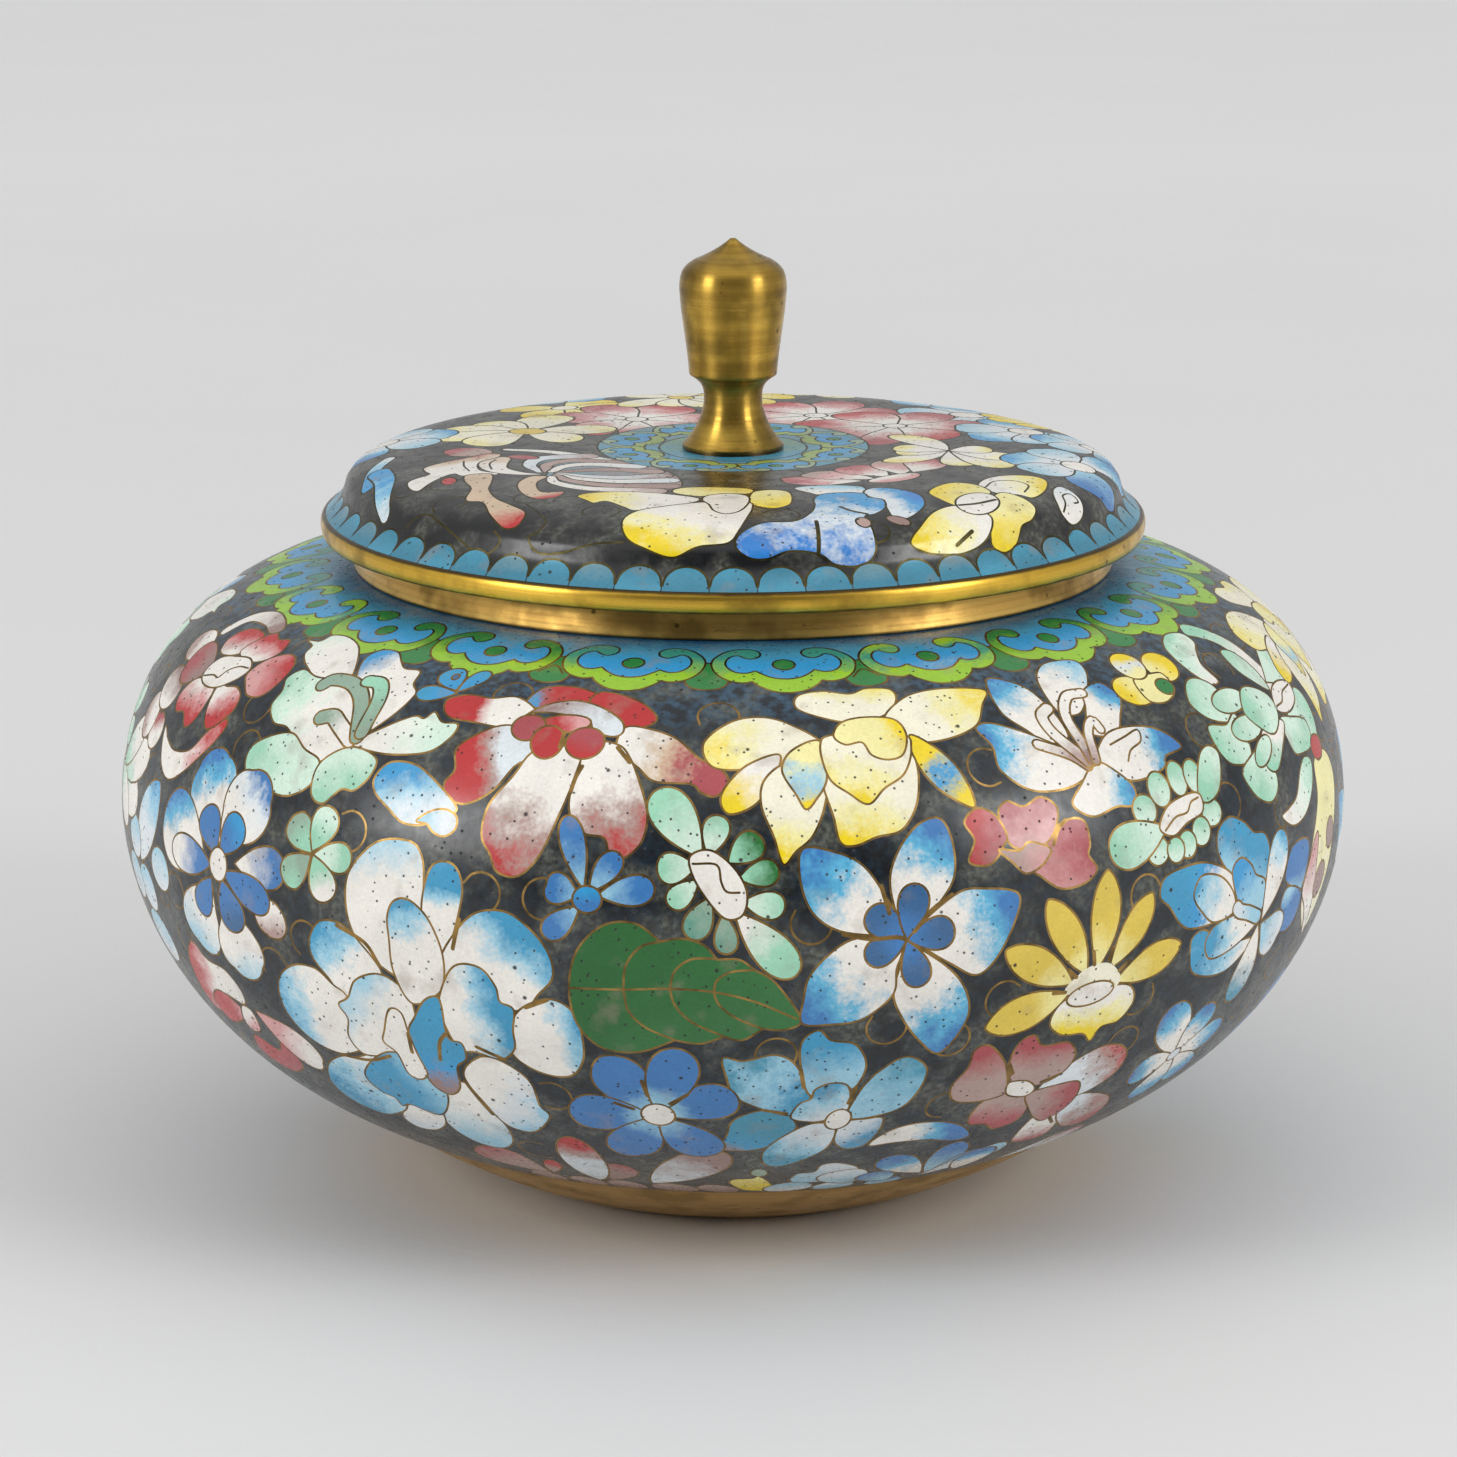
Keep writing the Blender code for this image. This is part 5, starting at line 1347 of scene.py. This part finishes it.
def enamel_piece(surface, name, drawn, chosen, start, width, finishes, haze):
    """The chosen triangles as one mesh, with its colours and a map for baking."""
    flat, faces, kind, owner = drawn
    faces, kind, owner = faces[chosen], kind[chosen], owner[chosen]
    used, numbered = np.unique(faces, return_inverse=True)
    numbered = numbered.reshape(faces.shape)
    azimuth, distance = surface.unflat(flat[used])
    spots, normals = surface.place(azimuth, distance)
    mesh = bpy.data.meshes.new(name)
    mesh.from_pydata(spots.tolist(), [], numbered.tolist())
    mesh.polygons.foreach_set("material_index", kind.astype(np.int32))
    mesh.polygons.foreach_set("use_smooth", np.ones(len(faces), bool))

    colours = np.zeros((3, len(faces), 4), np.float32)
    colours[..., 3] = 1.0
    for layer, colour in zip(colours, (GROUND, between(GROUND, HAZE), HAZE)):
        layer[:, :3] = colour
    corners = numbered.ravel()
    blend = haze(distance[corners]).reshape(faces.shape)
    for number in np.unique(owner[owner >= 0]):
        cell = surface.cells[number]
        mine = np.nonzero(owner == number)[0]
        for layer, colour in zip(colours, cell.tint[:3]):
            layer[mine, :3] = colour
        places = numbered[mine].ravel()
        local = cell.motif.from_surface(azimuth[places], distance[places])
        t = (local @ cell.along - cell.origin) / cell.length
        span = cell.tint.end - cell.tint.start
        blend[mine] = ((t - cell.tint.start) / span).reshape(len(mine), 3)
    for layer, title in zip(colours, ("root", "middle", "tip")):
        mesh.attributes.new(title, "FLOAT_COLOR", "FACE").data.foreach_set("color", layer.ravel())
    blend = blend.ravel().astype(np.float32)
    mesh.attributes.new("blend", "FLOAT", "CORNER").data.foreach_set("value", blend)

    map_layer = mesh.uv_layers.new(name="OFBake")
    if start is None:
        u = 0.5 + distance * np.sin(azimuth) / surface.length * 0.49
        v = 0.5 - distance * np.cos(azimuth) / surface.length * 0.49
        map_layer.data.foreach_set("uv", np.column_stack([u, v])[corners].ravel())
    else:
        around = (azimuth[corners] - start + 1e-4) % tau
        around = np.where(around > width + 0.1, 0.0, around)
        down = distance[corners] / surface.length
        map_layer.data.foreach_set("uv", np.column_stack([around / width, 1 - down]).ravel())
    for finish in finishes:
        mesh.materials.append(finish)
    mesh.validate()
    mesh.normals_split_custom_set_from_vertices(normals.tolist())
    return placed(name, mesh)


# Finishes
class Finish:
    """A material, with short ways to add and join its nodes. Scales are per metre."""

    def __init__(self, name):
        self.material = bpy.data.materials.new(name)
        self.material.use_nodes = True
        self.tree = self.material.node_tree
        self.shader = self.tree.nodes["Principled BSDF"]
        self.place = self.add("ShaderNodeTexCoord").outputs["Object"]

    def add(self, kind, **settings):
        node = self.tree.nodes.new(kind)
        for key, value in settings.items():
            setattr(node, key, value)
        return node

    def feed(self, socket, value):
        if isinstance(value, bpy.types.NodeSocket):
            self.tree.links.new(value, socket)
        elif value is not None:
            socket.default_value = value

    def attribute(self, title, output):
        return self.add("ShaderNodeAttribute", attribute_name=title).outputs[output]

    def noise(self, scale, detail=2.0, place=None):
        node = self.add("ShaderNodeTexNoise")
        self.feed(node.inputs["Vector"], place or self.place)
        self.feed(node.inputs["Scale"], scale)
        self.feed(node.inputs["Detail"], detail)
        return node.outputs["Fac"]

    def specks(self, scale, size, share):
        """1 in the middle of scattered round specks; size is a part of their spacing."""
        node = self.add("ShaderNodeTexVoronoi")
        self.feed(node.inputs["Vector"], self.place)
        self.feed(node.inputs["Scale"], scale)
        chance = self.add("ShaderNodeSeparateColor")
        self.feed(chance.inputs[0], node.outputs["Color"])
        shown = self.math("LESS_THAN", chance.outputs[0], share)
        speck = self.between(node.outputs["Distance"], size, size * 0.6, 0.0, 1.0)
        return self.times(shown, speck)

    def math(self, operation, first, second=None, third=None, clamp=False):
        node = self.add("ShaderNodeMath", operation=operation, use_clamp=clamp)
        for socket, value in zip(node.inputs, (first, second, third)):
            self.feed(socket, value)
        return node.outputs[0]

    def plus(self, first, second):
        return self.math("ADD", first, second)

    def times(self, first, second):
        return self.math("MULTIPLY", first, second)

    def between(self, value, from_low, from_high, low, high):
        """The value moved from one range to another, and kept in it."""
        node = self.add("ShaderNodeMapRange")
        for socket, given in zip(node.inputs, (value, from_low, from_high, low, high)):
            self.feed(socket, given)
        return node.outputs[0]

    def blotches(self, scale, detail, from_low, from_high, low=0.0, high=1.0):
        """Noise moved from one range to another."""
        return self.between(self.noise(scale, detail), from_low, from_high, low, high)

    def mix(self, share, first, second, blend_type="MIX"):
        node = self.add("ShaderNodeMix", data_type="RGBA", blend_type=blend_type)
        self.feed(node.inputs[0], share)
        for socket, colour in ((node.inputs[6], first), (node.inputs[7], second)):
            self.feed(socket, (*colour, 1.0) if isinstance(colour, tuple) and len(colour) == 3 else colour)
        return node.outputs[2]

    def dress(self, colour, roughness, height, depth, metallic=0.0):
        """Joins the colour, the roughness and a bump of the depth in millimetres."""
        bump = self.add("ShaderNodeBump")
        self.feed(bump.inputs["Height"], height)
        self.feed(bump.inputs["Distance"], depth * MM)
        self.feed(self.shader.inputs["Base Color"], colour)
        self.feed(self.shader.inputs["Roughness"], roughness)
        self.feed(self.shader.inputs["Normal"], bump.outputs[0])
        self.shader.inputs["Metallic"].default_value = metallic
        return self.material


def enamel_surface(f, colour, grain, cloud, pitting):
    """The glassy, slightly pitted and ground-down skin that every enamel has."""
    pits = f.math("MAXIMUM", f.specks(1000, 0.18, pitting), f.specks(330, 0.1, pitting * 0.9))
    value = f.times(f.blotches(2600, 3.0, 0.3, 0.7, 1.0 - grain, 1.0 + grain),
                    f.blotches(160, 2.0, 0.3, 0.7, 1.0 - cloud, 1.0 + cloud * 0.6))
    shaded = f.mix(f.times(pits, 0.92), f.mix(1.0, colour, value, "MULTIPLY"), PIT)
    roughness = f.plus(f.blotches(700, 3.0, 0.3, 0.7, 0.2, 0.32), f.times(pits, 0.4))
    height = f.math("SUBTRACT", f.times(f.noise(210, 2.0), 0.8), pits)
    return f.dress(shaded, roughness, height, 0.05)


def picture_enamel(name):
    """Enamel whose colour runs from each cell's root to its tip, in grains."""
    f = Finish(name)
    drift = f.times(f.math("SUBTRACT", f.noise(380, 2.0), 0.5), 1.1)
    grains = f.times(f.math("SUBTRACT", f.noise(2200, 4.0), 0.5), 0.6)
    t = f.plus(f.attribute("blend", "Fac"), f.plus(drift, grains))
    first = f.math("MULTIPLY", t, 2.0, clamp=True)
    second = f.math("MULTIPLY_ADD", t, 2.0, -1.0, clamp=True)
    colour = f.mix(first, f.attribute("root", "Color"), f.attribute("middle", "Color"))
    colour = f.mix(second, colour, f.attribute("tip", "Color"))
    colour = f.mix(f.blotches(260, 4.0, 0.58, 0.74, 0.0, 0.4), colour, STAIN)
    return enamel_surface(f, colour, grain=0.06, cloud=0.08, pitting=0.7)


def black_ground(name):
    """Black enamel with a bluish bloom and pale grains."""
    f = Finish(name)
    bloom = f.times(f.attribute("blend", "Fac"), f.blotches(900, 4.0, 0.42, 0.62, 0.1, 1.0))
    colour = f.mix(bloom, f.attribute("root", "Color"), f.attribute("tip", "Color"))
    patches = f.blotches(190, 3.0, 0.45, 0.62, 0.0, 0.85)
    dust = f.times(patches, f.blotches(1500, 4.0, 0.42, 0.7, 0.25, 1.0))
    return enamel_surface(f, f.mix(dust, colour, DUST), grain=0.12, cloud=0.12, pitting=0.4)


def wire_brass(name, bright, dull):
    """Brass of the wires, tarnished in patches."""
    f = Finish(name)
    colour = f.mix(f.blotches(420, 3.0, 0.35, 0.65), bright, dull)
    return f.dress(colour, f.blotches(900, 2.0, 0.3, 0.7, 0.3, 0.45), f.noise(1500), 0.02, metallic=1.0)


def turned_brass(name, bright, dull, tarnish, roughness, ring_depth=0.012, spread=0.0, corners=()):
    """Brass turned on a lathe: fine rings about the axis, tarnished patches and small knocks.

    Spread draws its highlights out along the profile. Each corner is a height where a dark line
    lies and how far up or down it reaches, in millimetres; some lines are dirt and some are painted shade.
    """
    f = Finish(name)
    around = f.add("ShaderNodeTangent", direction_type="RADIAL", axis="Z")
    f.feed(f.shader.inputs["Tangent"], around.outputs[0])
    f.shader.inputs["Anisotropic"].default_value = spread
    f.shader.inputs["Anisotropic Rotation"].default_value = 0.25
    parts = f.add("ShaderNodeSeparateXYZ")
    f.feed(parts.inputs[0], f.place)
    squares = [f.math("POWER", parts.outputs[axis], 2.0) for axis in (0, 1)]
    profile = f.add("ShaderNodeCombineXYZ")
    f.feed(profile.inputs[0], f.math("SQRT", f.plus(*squares)))
    f.feed(profile.inputs[2], parts.outputs[2])
    rings = f.noise(3200, 2.0, profile.outputs[0])
    broad_rings = f.noise(700, 2.0, profile.outputs[0])
    patches = f.blotches(190, 4.0, 0.46, 0.66)
    spots = f.specks(420, 0.16, 0.5)
    colour = f.mix(f.between(broad_rings, 0.35, 0.65, 0.0, 0.7), bright, dull)
    colour = f.mix(f.times(patches, 0.55), colour, tarnish)
    colour = f.mix(f.times(spots, 0.7), colour, between(tarnish, (0.0, 0.0, 0.0), 0.6))
    # Dark lines at the corners' heights; those in the gap under the lid's rim are painted shade.
    for level, reach in corners:
        away = f.plus(parts.outputs[2], -level * MM)
        away = f.math("ABSOLUTE", f.plus(away, f.times(f.noise(330, 3.0), reach * MM)))
        colour = f.mix(f.between(away, reach * 0.5 * MM, reach * 1.6 * MM, 0.9, 0.0), colour, DIRT_AND_SHADE)
    rough = f.plus(f.between(rings, 0.3, 0.7, roughness - 0.06, roughness + 0.08), f.times(patches, 0.12))
    height = f.math("SUBTRACT", f.plus(rings, f.times(f.noise(260, 2.0), 0.8)), spots)
    return f.dress(colour, rough, height, ring_depth, metallic=1.0)


def counter_enamel(name):
    """The plain turquoise enamel inside and underneath."""
    f = Finish(name)
    colour = f.mix(f.blotches(260, 4.0, 0.35, 0.65), srgb(58, 142, 168), srgb(84, 166, 184))
    return enamel_surface(f, colour, grain=0.08, cloud=0.12, pitting=0.8)


def pale_floor(name):
    """Matt and pale, painted a little darker around the jar as a soft shadow, which also dims the light it
    throws back onto the bowl.
    """
    f = Finish(name)
    away = f.add("ShaderNodeVectorMath", operation="LENGTH")
    f.feed(away.inputs[0], f.place)
    # Painted shade: the tone falls from 0.9 far off to 0.76 near the jar.
    tone = f.between(away.outputs["Value"], 0.15, 1.0, 0.76, 0.9)
    tone = f.times(tone, f.blotches(9, 3.0, 0.3, 0.7, 0.985, 1.0))
    grey = f.add("ShaderNodeCombineColor")
    for socket in grey.inputs[:3]:
        f.feed(socket, tone)
    return f.dress(grey.outputs[0], 0.75, f.noise(400, 2.0), 0.05)


# Turned pieces
def turned(name, outline, finish, closed=True):
    """A piece turned about the vertical axis; a point on the axis is closed by a fan."""
    outline = np.array(outline, float) * MM
    around = np.arange(ROUND_STEPS) * tau / ROUND_STEPS
    vertices = []
    rings = []
    for radius, height in outline:
        if radius < 1e-7:
            rings.append([len(vertices)] * ROUND_STEPS)
            vertices.append((0.0, 0.0, height))
        else:
            rings.append(range(len(vertices), len(vertices) + ROUND_STEPS))
            vertices += [(radius * sin(a), -radius * cos(a), height) for a in around]
    faces = []
    pairs = list(zip(rings, rings[1:]))
    if closed:
        pairs.append((rings[-1], rings[0]))
    for upper, lower in pairs:
        for step in range(ROUND_STEPS):
            after = (step + 1) % ROUND_STEPS
            corners = (upper[step], lower[step], lower[after], upper[after])
            faces.append(tuple(dict.fromkeys(corners)))
    mesh = bpy.data.meshes.new(name)
    mesh.from_pydata(vertices, [], faces)
    mesh.validate()
    mesh.polygons.foreach_set("use_smooth", np.ones(len(mesh.polygons), bool))
    mesh.set_sharp_from_angle(angle=radians(38))
    mesh.materials.append(finish)
    return placed(name, mesh)


def eased(outline, radius, closed=True):
    """The outline with each of its corners rounded off by a short curve."""
    outline = [np.array(point, float) for point in outline]
    made = []
    count = len(outline)
    for index, corner in enumerate(outline):
        if not closed and index in (0, count - 1):
            made.append(corner)
            continue
        before, after = outline[index - 1], outline[(index + 1) % count]
        back, ahead = before - corner, after - corner
        reach = min(radius, hypot(*back) * 0.45, hypot(*ahead) * 0.45)
        start = corner + back / hypot(*back) * reach
        end = corner + ahead / hypot(*ahead) * reach
        made += list(curve(start, start + (corner - start) * 0.55, end + (corner - end) * 0.55, end, 4))
    return made


def foot_ring(finish):
    outer = foot_face()
    inner = inset(outer, FOOT_THICKNESS)
    land = [(FOOT_RADIUS - FOOT_LAND, 0.0), (FOOT_RADIUS - FOOT_LAND, inner[-1][1])]
    return turned("foot_brass_ring", list(outer) + land + list(inner[::-1]), finish)


def neck_collar(finish):
    """The mouth ring: a leaning wall outside, and the lip that the lid drops over."""
    flange = LIP_TOP - LIP_RISE
    sunk = SHOULDER_HEIGHT - COLLAR_SINK
    outline = [(FLANGE_RADIUS - COLLAR_LEAN, flange),
               (FLANGE_RADIUS - COLLAR_BACK, SHOULDER_HEIGHT + COLLAR_BEAD),
               (FLANGE_RADIUS - COLLAR_TUCK, sunk), (BORE_RADIUS, sunk), (BORE_RADIUS, LIP_TOP),
               (LIP_RADIUS, LIP_TOP), (LIP_RADIUS, flange)]
    return turned("collar_brass_ring", eased(outline, 0.25), finish)


def lid_rim(finish):
    """The ring along the lid's edge, rolled outside."""
    inner = LIP_RADIUS + RIM_PLAY
    roll = curve((LID_RADIUS, LID_EDGE), (RIM_RADIUS, LID_EDGE - RIM_SWELL),
                 (RIM_RADIUS + RIM_SWELL, RIM_FOOT + RIM_ROLL), (RIM_RADIUS - RIM_UNDERCUT, RIM_FOOT), 14)
    outline = eased([roll[-1], (inner, RIM_FOOT), (inner, LID_EDGE), roll[0]], 0.15, closed=False)
    return turned("rim_brass_ring", outline + list(roll[1:-1]), finish)


def finial(finish):
    """The knob: a flared base, a neck, a hollow, and a cap that rises to a point."""
    lip_top = FINIAL_FOOT + KNOB_LIP
    neck_foot = lip_top + KNOB_FLARE
    neck_top = neck_foot + KNOB_NECK
    cap_foot = neck_top + KNOB_HOLLOW
    cap_top = cap_foot + KNOB_CAP
    crown = cap_top + KNOB_CROWN
    tip_foot = crown + KNOB_POINT
    shelf = FINIAL_RADIUS - CROWN_RADIUS
    slope = KNOB_POINT / (CROWN_RADIUS - TIP_RADIUS)
    floor = LID_TOP - LID_DISH
    point = curve((TIP_RADIUS, tip_foot), (CROWN_RADIUS * 0.4, tip_foot - KNOB_POINT * 0.42),
                  (CROWN_RADIUS * 0.7, crown + KNOB_POINT * 0.26), (CROWN_RADIUS, crown), 12)
    brow = curve((CROWN_RADIUS, crown), (CROWN_RADIUS + shelf * 0.7, crown - shelf * 0.7 * slope),
                 (FINIAL_RADIUS, cap_top + KNOB_CROWN * 0.62), (FINIAL_RADIUS, cap_top), 14)
    cap = curve((FINIAL_RADIUS, cap_top), (FINIAL_RADIUS - 0.2, cap_top - KNOB_CAP * 0.35),
                (CAP_FOOT_RADIUS + 0.15, cap_foot + KNOB_CAP * 0.3), (CAP_FOOT_RADIUS, cap_foot + 0.15), 12)
    hollow = curve((CAP_FOOT_RADIUS - 0.1, cap_foot - 0.05),
                   (NECK_RADIUS * 1.15, cap_foot - KNOB_HOLLOW * 0.3),
                   (NECK_RADIUS, neck_top + KNOB_HOLLOW * 0.45), (NECK_RADIUS, neck_top), 12)
    flare = curve((NECK_RADIUS, neck_foot), (NECK_RADIUS + 0.3, neck_foot - KNOB_FLARE * 0.44),
                  (BASE_RADIUS - 1.15, lip_top + KNOB_FLARE * 0.21), (BASE_RADIUS, lip_top), 16)
    tip = [(0.0, tip_foot + KNOB_TIP), (TIP_RADIUS * 0.5, tip_foot + KNOB_TIP * 0.85)]
    base = [(BASE_RADIUS, floor), (0.0, floor)]
    outline = np.concatenate([tip, point, brow[1:], cap[1:], hollow, flare, base])
    return turned("finial_brass_knob", outline, finish, closed=False)


def body_lining(finish):
    """The walls inside the outer enamel: the floor, the inside, the mouth and the underside.

    The plain walls take every third point of the outlines.
    """
    outer = bowl_outline()
    recess = FOOT_THICKNESS + FIT_GAP
    base = inset(foot_face(), recess)
    belly = len(outer) // 2
    inner_upper = inset(outer[:belly + 1], BODY_WALL)
    inner_lower = inset(outer[belly:], BODY_WALL, BODY_WALL + recess)
    inner = np.concatenate([inner_upper, inner_lower[1:], inset(base, BODY_WALL)[4:]])[::3]
    mouth = [(BORE_RADIUS, inner[0][1]), (BORE_RADIUS, SHOULDER_HEIGHT - UNDER_SKIN)]
    skin = inset(outer, UNDER_SKIN)
    outline = [(0.0, inner[-1][1])] + list(inner[::-1]) + mouth + list(skin) + list(base[::3])
    return turned("body_lining", outline + [(0.0, base[-1][1])], finish, closed=False)


def lid_lining(finish):
    outer = lid_outline()
    side = len(outer) - FLARE_STEPS
    inner = inset(outer[1:side], LID_WALL)
    skin = inset(outer[1:], UNDER_SKIN)
    outline = [(0.0, outer[0][1] - UNDER_SKIN)] + list(skin) + [(LID_RADIUS - UNDER_SKIN, LID_EDGE)]
    outline += [(inner[-1][0], LID_EDGE)] + list(inner[::-1]) + [(0.0, outer[0][1] - LID_WALL)]
    return turned("lid_lining", outline, finish, closed=False)


# Stage
def floor():
    mesh = bpy.data.meshes.new("floor")
    reach = 4.0
    mesh.from_pydata([(-reach, -reach, 0.0), (reach, -reach, 0.0), (reach, reach, 0.0), (-reach, reach, 0.0)],
                     [], [(0, 1, 2, 3)])
    mesh.materials.append(pale_floor("pale_floor"))
    return placed("floor", mesh)


def soft_box(name, azimuth):
    """A square lamp that faces the jar, at an azimuth from the front, positive to the right."""
    data = bpy.data.lights.new(name, "AREA")
    data.shape = "SQUARE"
    data.size = LAMP_SIZE
    data.energy = LAMP_POWER
    lamp = placed(name, data)
    around, up = radians(azimuth), radians(LAMP_ELEVATION)
    toward = Vector((sin(around) * cos(up), -cos(around) * cos(up), sin(up)))
    lamp.location = Vector((0.0, 0.0, BELLY_HEIGHT * MM)) + toward * LAMP_DISTANCE
    lamp.rotation_euler = toward.to_track_quat("Z", "Y").to_euler()


def daylight(front, side, back, overhead):
    """Even light that is dim in front of the jar, and bright beside, behind and above it."""
    world = bpy.data.worlds.new("studio")
    world.use_nodes = True
    tree = world.node_tree
    toward = tree.nodes.new("ShaderNodeTexCoord").outputs["Generated"]
    parts = tree.nodes.new("ShaderNodeSeparateXYZ")
    tree.links.new(toward, parts.inputs[0])
    total = 0.0
    for axis, low, high, least, most in (
        (1, -0.9, -0.5, front, side), (1, -0.35, 0.3, 0.0, back - side), (2, 0.3, 0.95, 0.0, overhead),
    ):
        ramp = tree.nodes.new("ShaderNodeMapRange")
        ramp.interpolation_type = "SMOOTHSTEP"
        tree.links.new(parts.outputs[axis], ramp.inputs[0])
        for socket, value in zip(ramp.inputs[1:5], (low, high, least, most)):
            socket.default_value = value
        added = tree.nodes.new("ShaderNodeMath")
        added.inputs[0].default_value = 0.0
        if total:
            tree.links.new(total, added.inputs[0])
        tree.links.new(ramp.outputs[0], added.inputs[1])
        total = added.outputs[0]
    background = tree.nodes["Background"]
    background.inputs["Color"].default_value = (1.0, 1.0, 1.0, 1.0)
    tree.links.new(total, background.inputs["Strength"])
    bpy.context.scene.world = world


def camera():
    data = bpy.data.cameras.new("camera")
    data.sensor_width = SENSOR
    data.lens = FOCAL_PIXELS * SENSOR / PHOTO_SIZE
    data.clip_start = 0.01
    data.clip_end = 20.0
    eye = placed("camera", data)
    away = Vector((0.0, -cos(CAMERA_PITCH), sin(CAMERA_PITCH)))
    eye.location = (Vector((AIM_SIDE, 0.0, AIM_HEIGHT)) + away * CAMERA_DISTANCE) * MM
    eye.rotation_euler = (pi / 2 - CAMERA_PITCH, 0.0, 0.0)
    bpy.context.scene.camera = eye


def keep(piece, node):
    """The piece belongs to the jar and stands for a node of its frame."""
    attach(piece, "root")
    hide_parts(node)


def shoulder_bloom(distance):
    """How blue the bowl's black ground is, most of all on the shoulder."""
    return 0.12 + 0.6 * np.exp(-((distance - 15.0) / 5.0) ** 2)


def enamelled_bowl(finishes, rng):
    """The bowl's enamel, in three sectors that meet beside and behind the photographed front."""
    bowl = Surface(bowl_outline(), SHOULDER_RADIUS)
    front_curls(bowl)
    cloud_ring(bowl)
    front_flowers(bowl)
    back_flowers(bowl)
    ground_curls(bowl, 17.5, 88.0, rng, bare=58)
    third = tau / 3
    drawn = triangulated(bowl, (-third / 2, third / 2, pi), BOWL_STEP)
    middles = bowl.unflat(drawn[0][drawn[1]].mean(axis=1))[0]
    for name, start in (("front", -third / 2), ("right", third / 2), ("left", pi)):
        chosen = (middles - start) % tau < third
        piece = enamel_piece(bowl, "body_enamel_" + name, drawn, chosen, start, third, finishes,
                             shoulder_bloom)
        keep(piece, "jar_body")


def enamelled_lid(finishes, rng):
    lid = Surface(lid_outline(), 0.0)
    lid_flowers(lid)
    medallion(lid)
    lid_border(lid)
    ground_curls(lid, 18.0, 48.0, rng)
    drawn = triangulated(lid, (), LID_STEP)
    chosen = np.ones(len(drawn[1]), bool)
    piece = enamel_piece(lid, "lid_enamel_top", drawn, chosen, None, 0.0, finishes, np.zeros_like)
    keep(piece, "lid_shell")


def brass_fittings():
    """The foot, collar, rim and knob; the knob is the most tarnished."""
    foot = turned_brass("foot_finish", srgb(208, 168, 88), srgb(178, 136, 66), BRONZE, roughness=0.36)
    # The dark lines at RIM_FOOT on the collar and the rim are painted shade for the gap under the rim; those
    # at SHOULDER_HEIGHT and LID_EDGE are dirt.
    collar = turned_brass("collar_finish", srgb(232, 190, 104), srgb(190, 142, 72), BRONZE, roughness=0.3,
                          ring_depth=0.03, spread=0.9, corners=((SHOULDER_HEIGHT, 0.3), (RIM_FOOT, 0.25)))
    rim = turned_brass("rim_finish", srgb(232, 192, 78), srgb(196, 150, 50), BRONZE, roughness=0.3,
                       ring_depth=0.02, spread=0.7, corners=((LID_EDGE, 0.2), (RIM_FOOT, 0.35)))
    knob = turned_brass("finial_finish", srgb(196, 160, 72), srgb(144, 112, 48), srgb(80, 68, 36),
                        roughness=0.3, ring_depth=0.006, spread=0.85, corners=((FINIAL_FOOT, 0.5),))
    keep(foot_ring(foot), "foot_ring")
    keep(neck_collar(collar), "neck_collar")
    keep(lid_rim(rim), "lid_rim")
    keep(finial(knob), "finial")


def main():
    rng = np.random.default_rng(11)
    ground, picture = black_ground("black_ground"), picture_enamel("picture_enamel")
    wire = wire_brass("wire_brass", srgb(168, 134, 78), srgb(104, 84, 50))
    # The lid's wires are a darker copy of the same brass: painted shade for the dark surroundings that they
    # reflect.
    painted_shade_wire = wire_brass("painted_shade_wire_brass", srgb(96, 86, 52), srgb(62, 58, 36))
    enamelled_bowl((ground, picture, wire), rng)
    enamelled_lid((ground, picture, painted_shade_wire), rng)
    lining = counter_enamel("counter_enamel")
    keep(body_lining(lining), "jar_body")
    keep(lid_lining(lining), "lid_shell")
    brass_fittings()

    floor()
    soft_box("left_box", -LAMP_AZIMUTH)
    soft_box("right_box", LAMP_AZIMUTH)
    daylight(front=0.05, side=0.9, back=0.5, overhead=0.2)
    bpy.context.scene.view_settings.view_transform = "Standard"
    camera()


main()
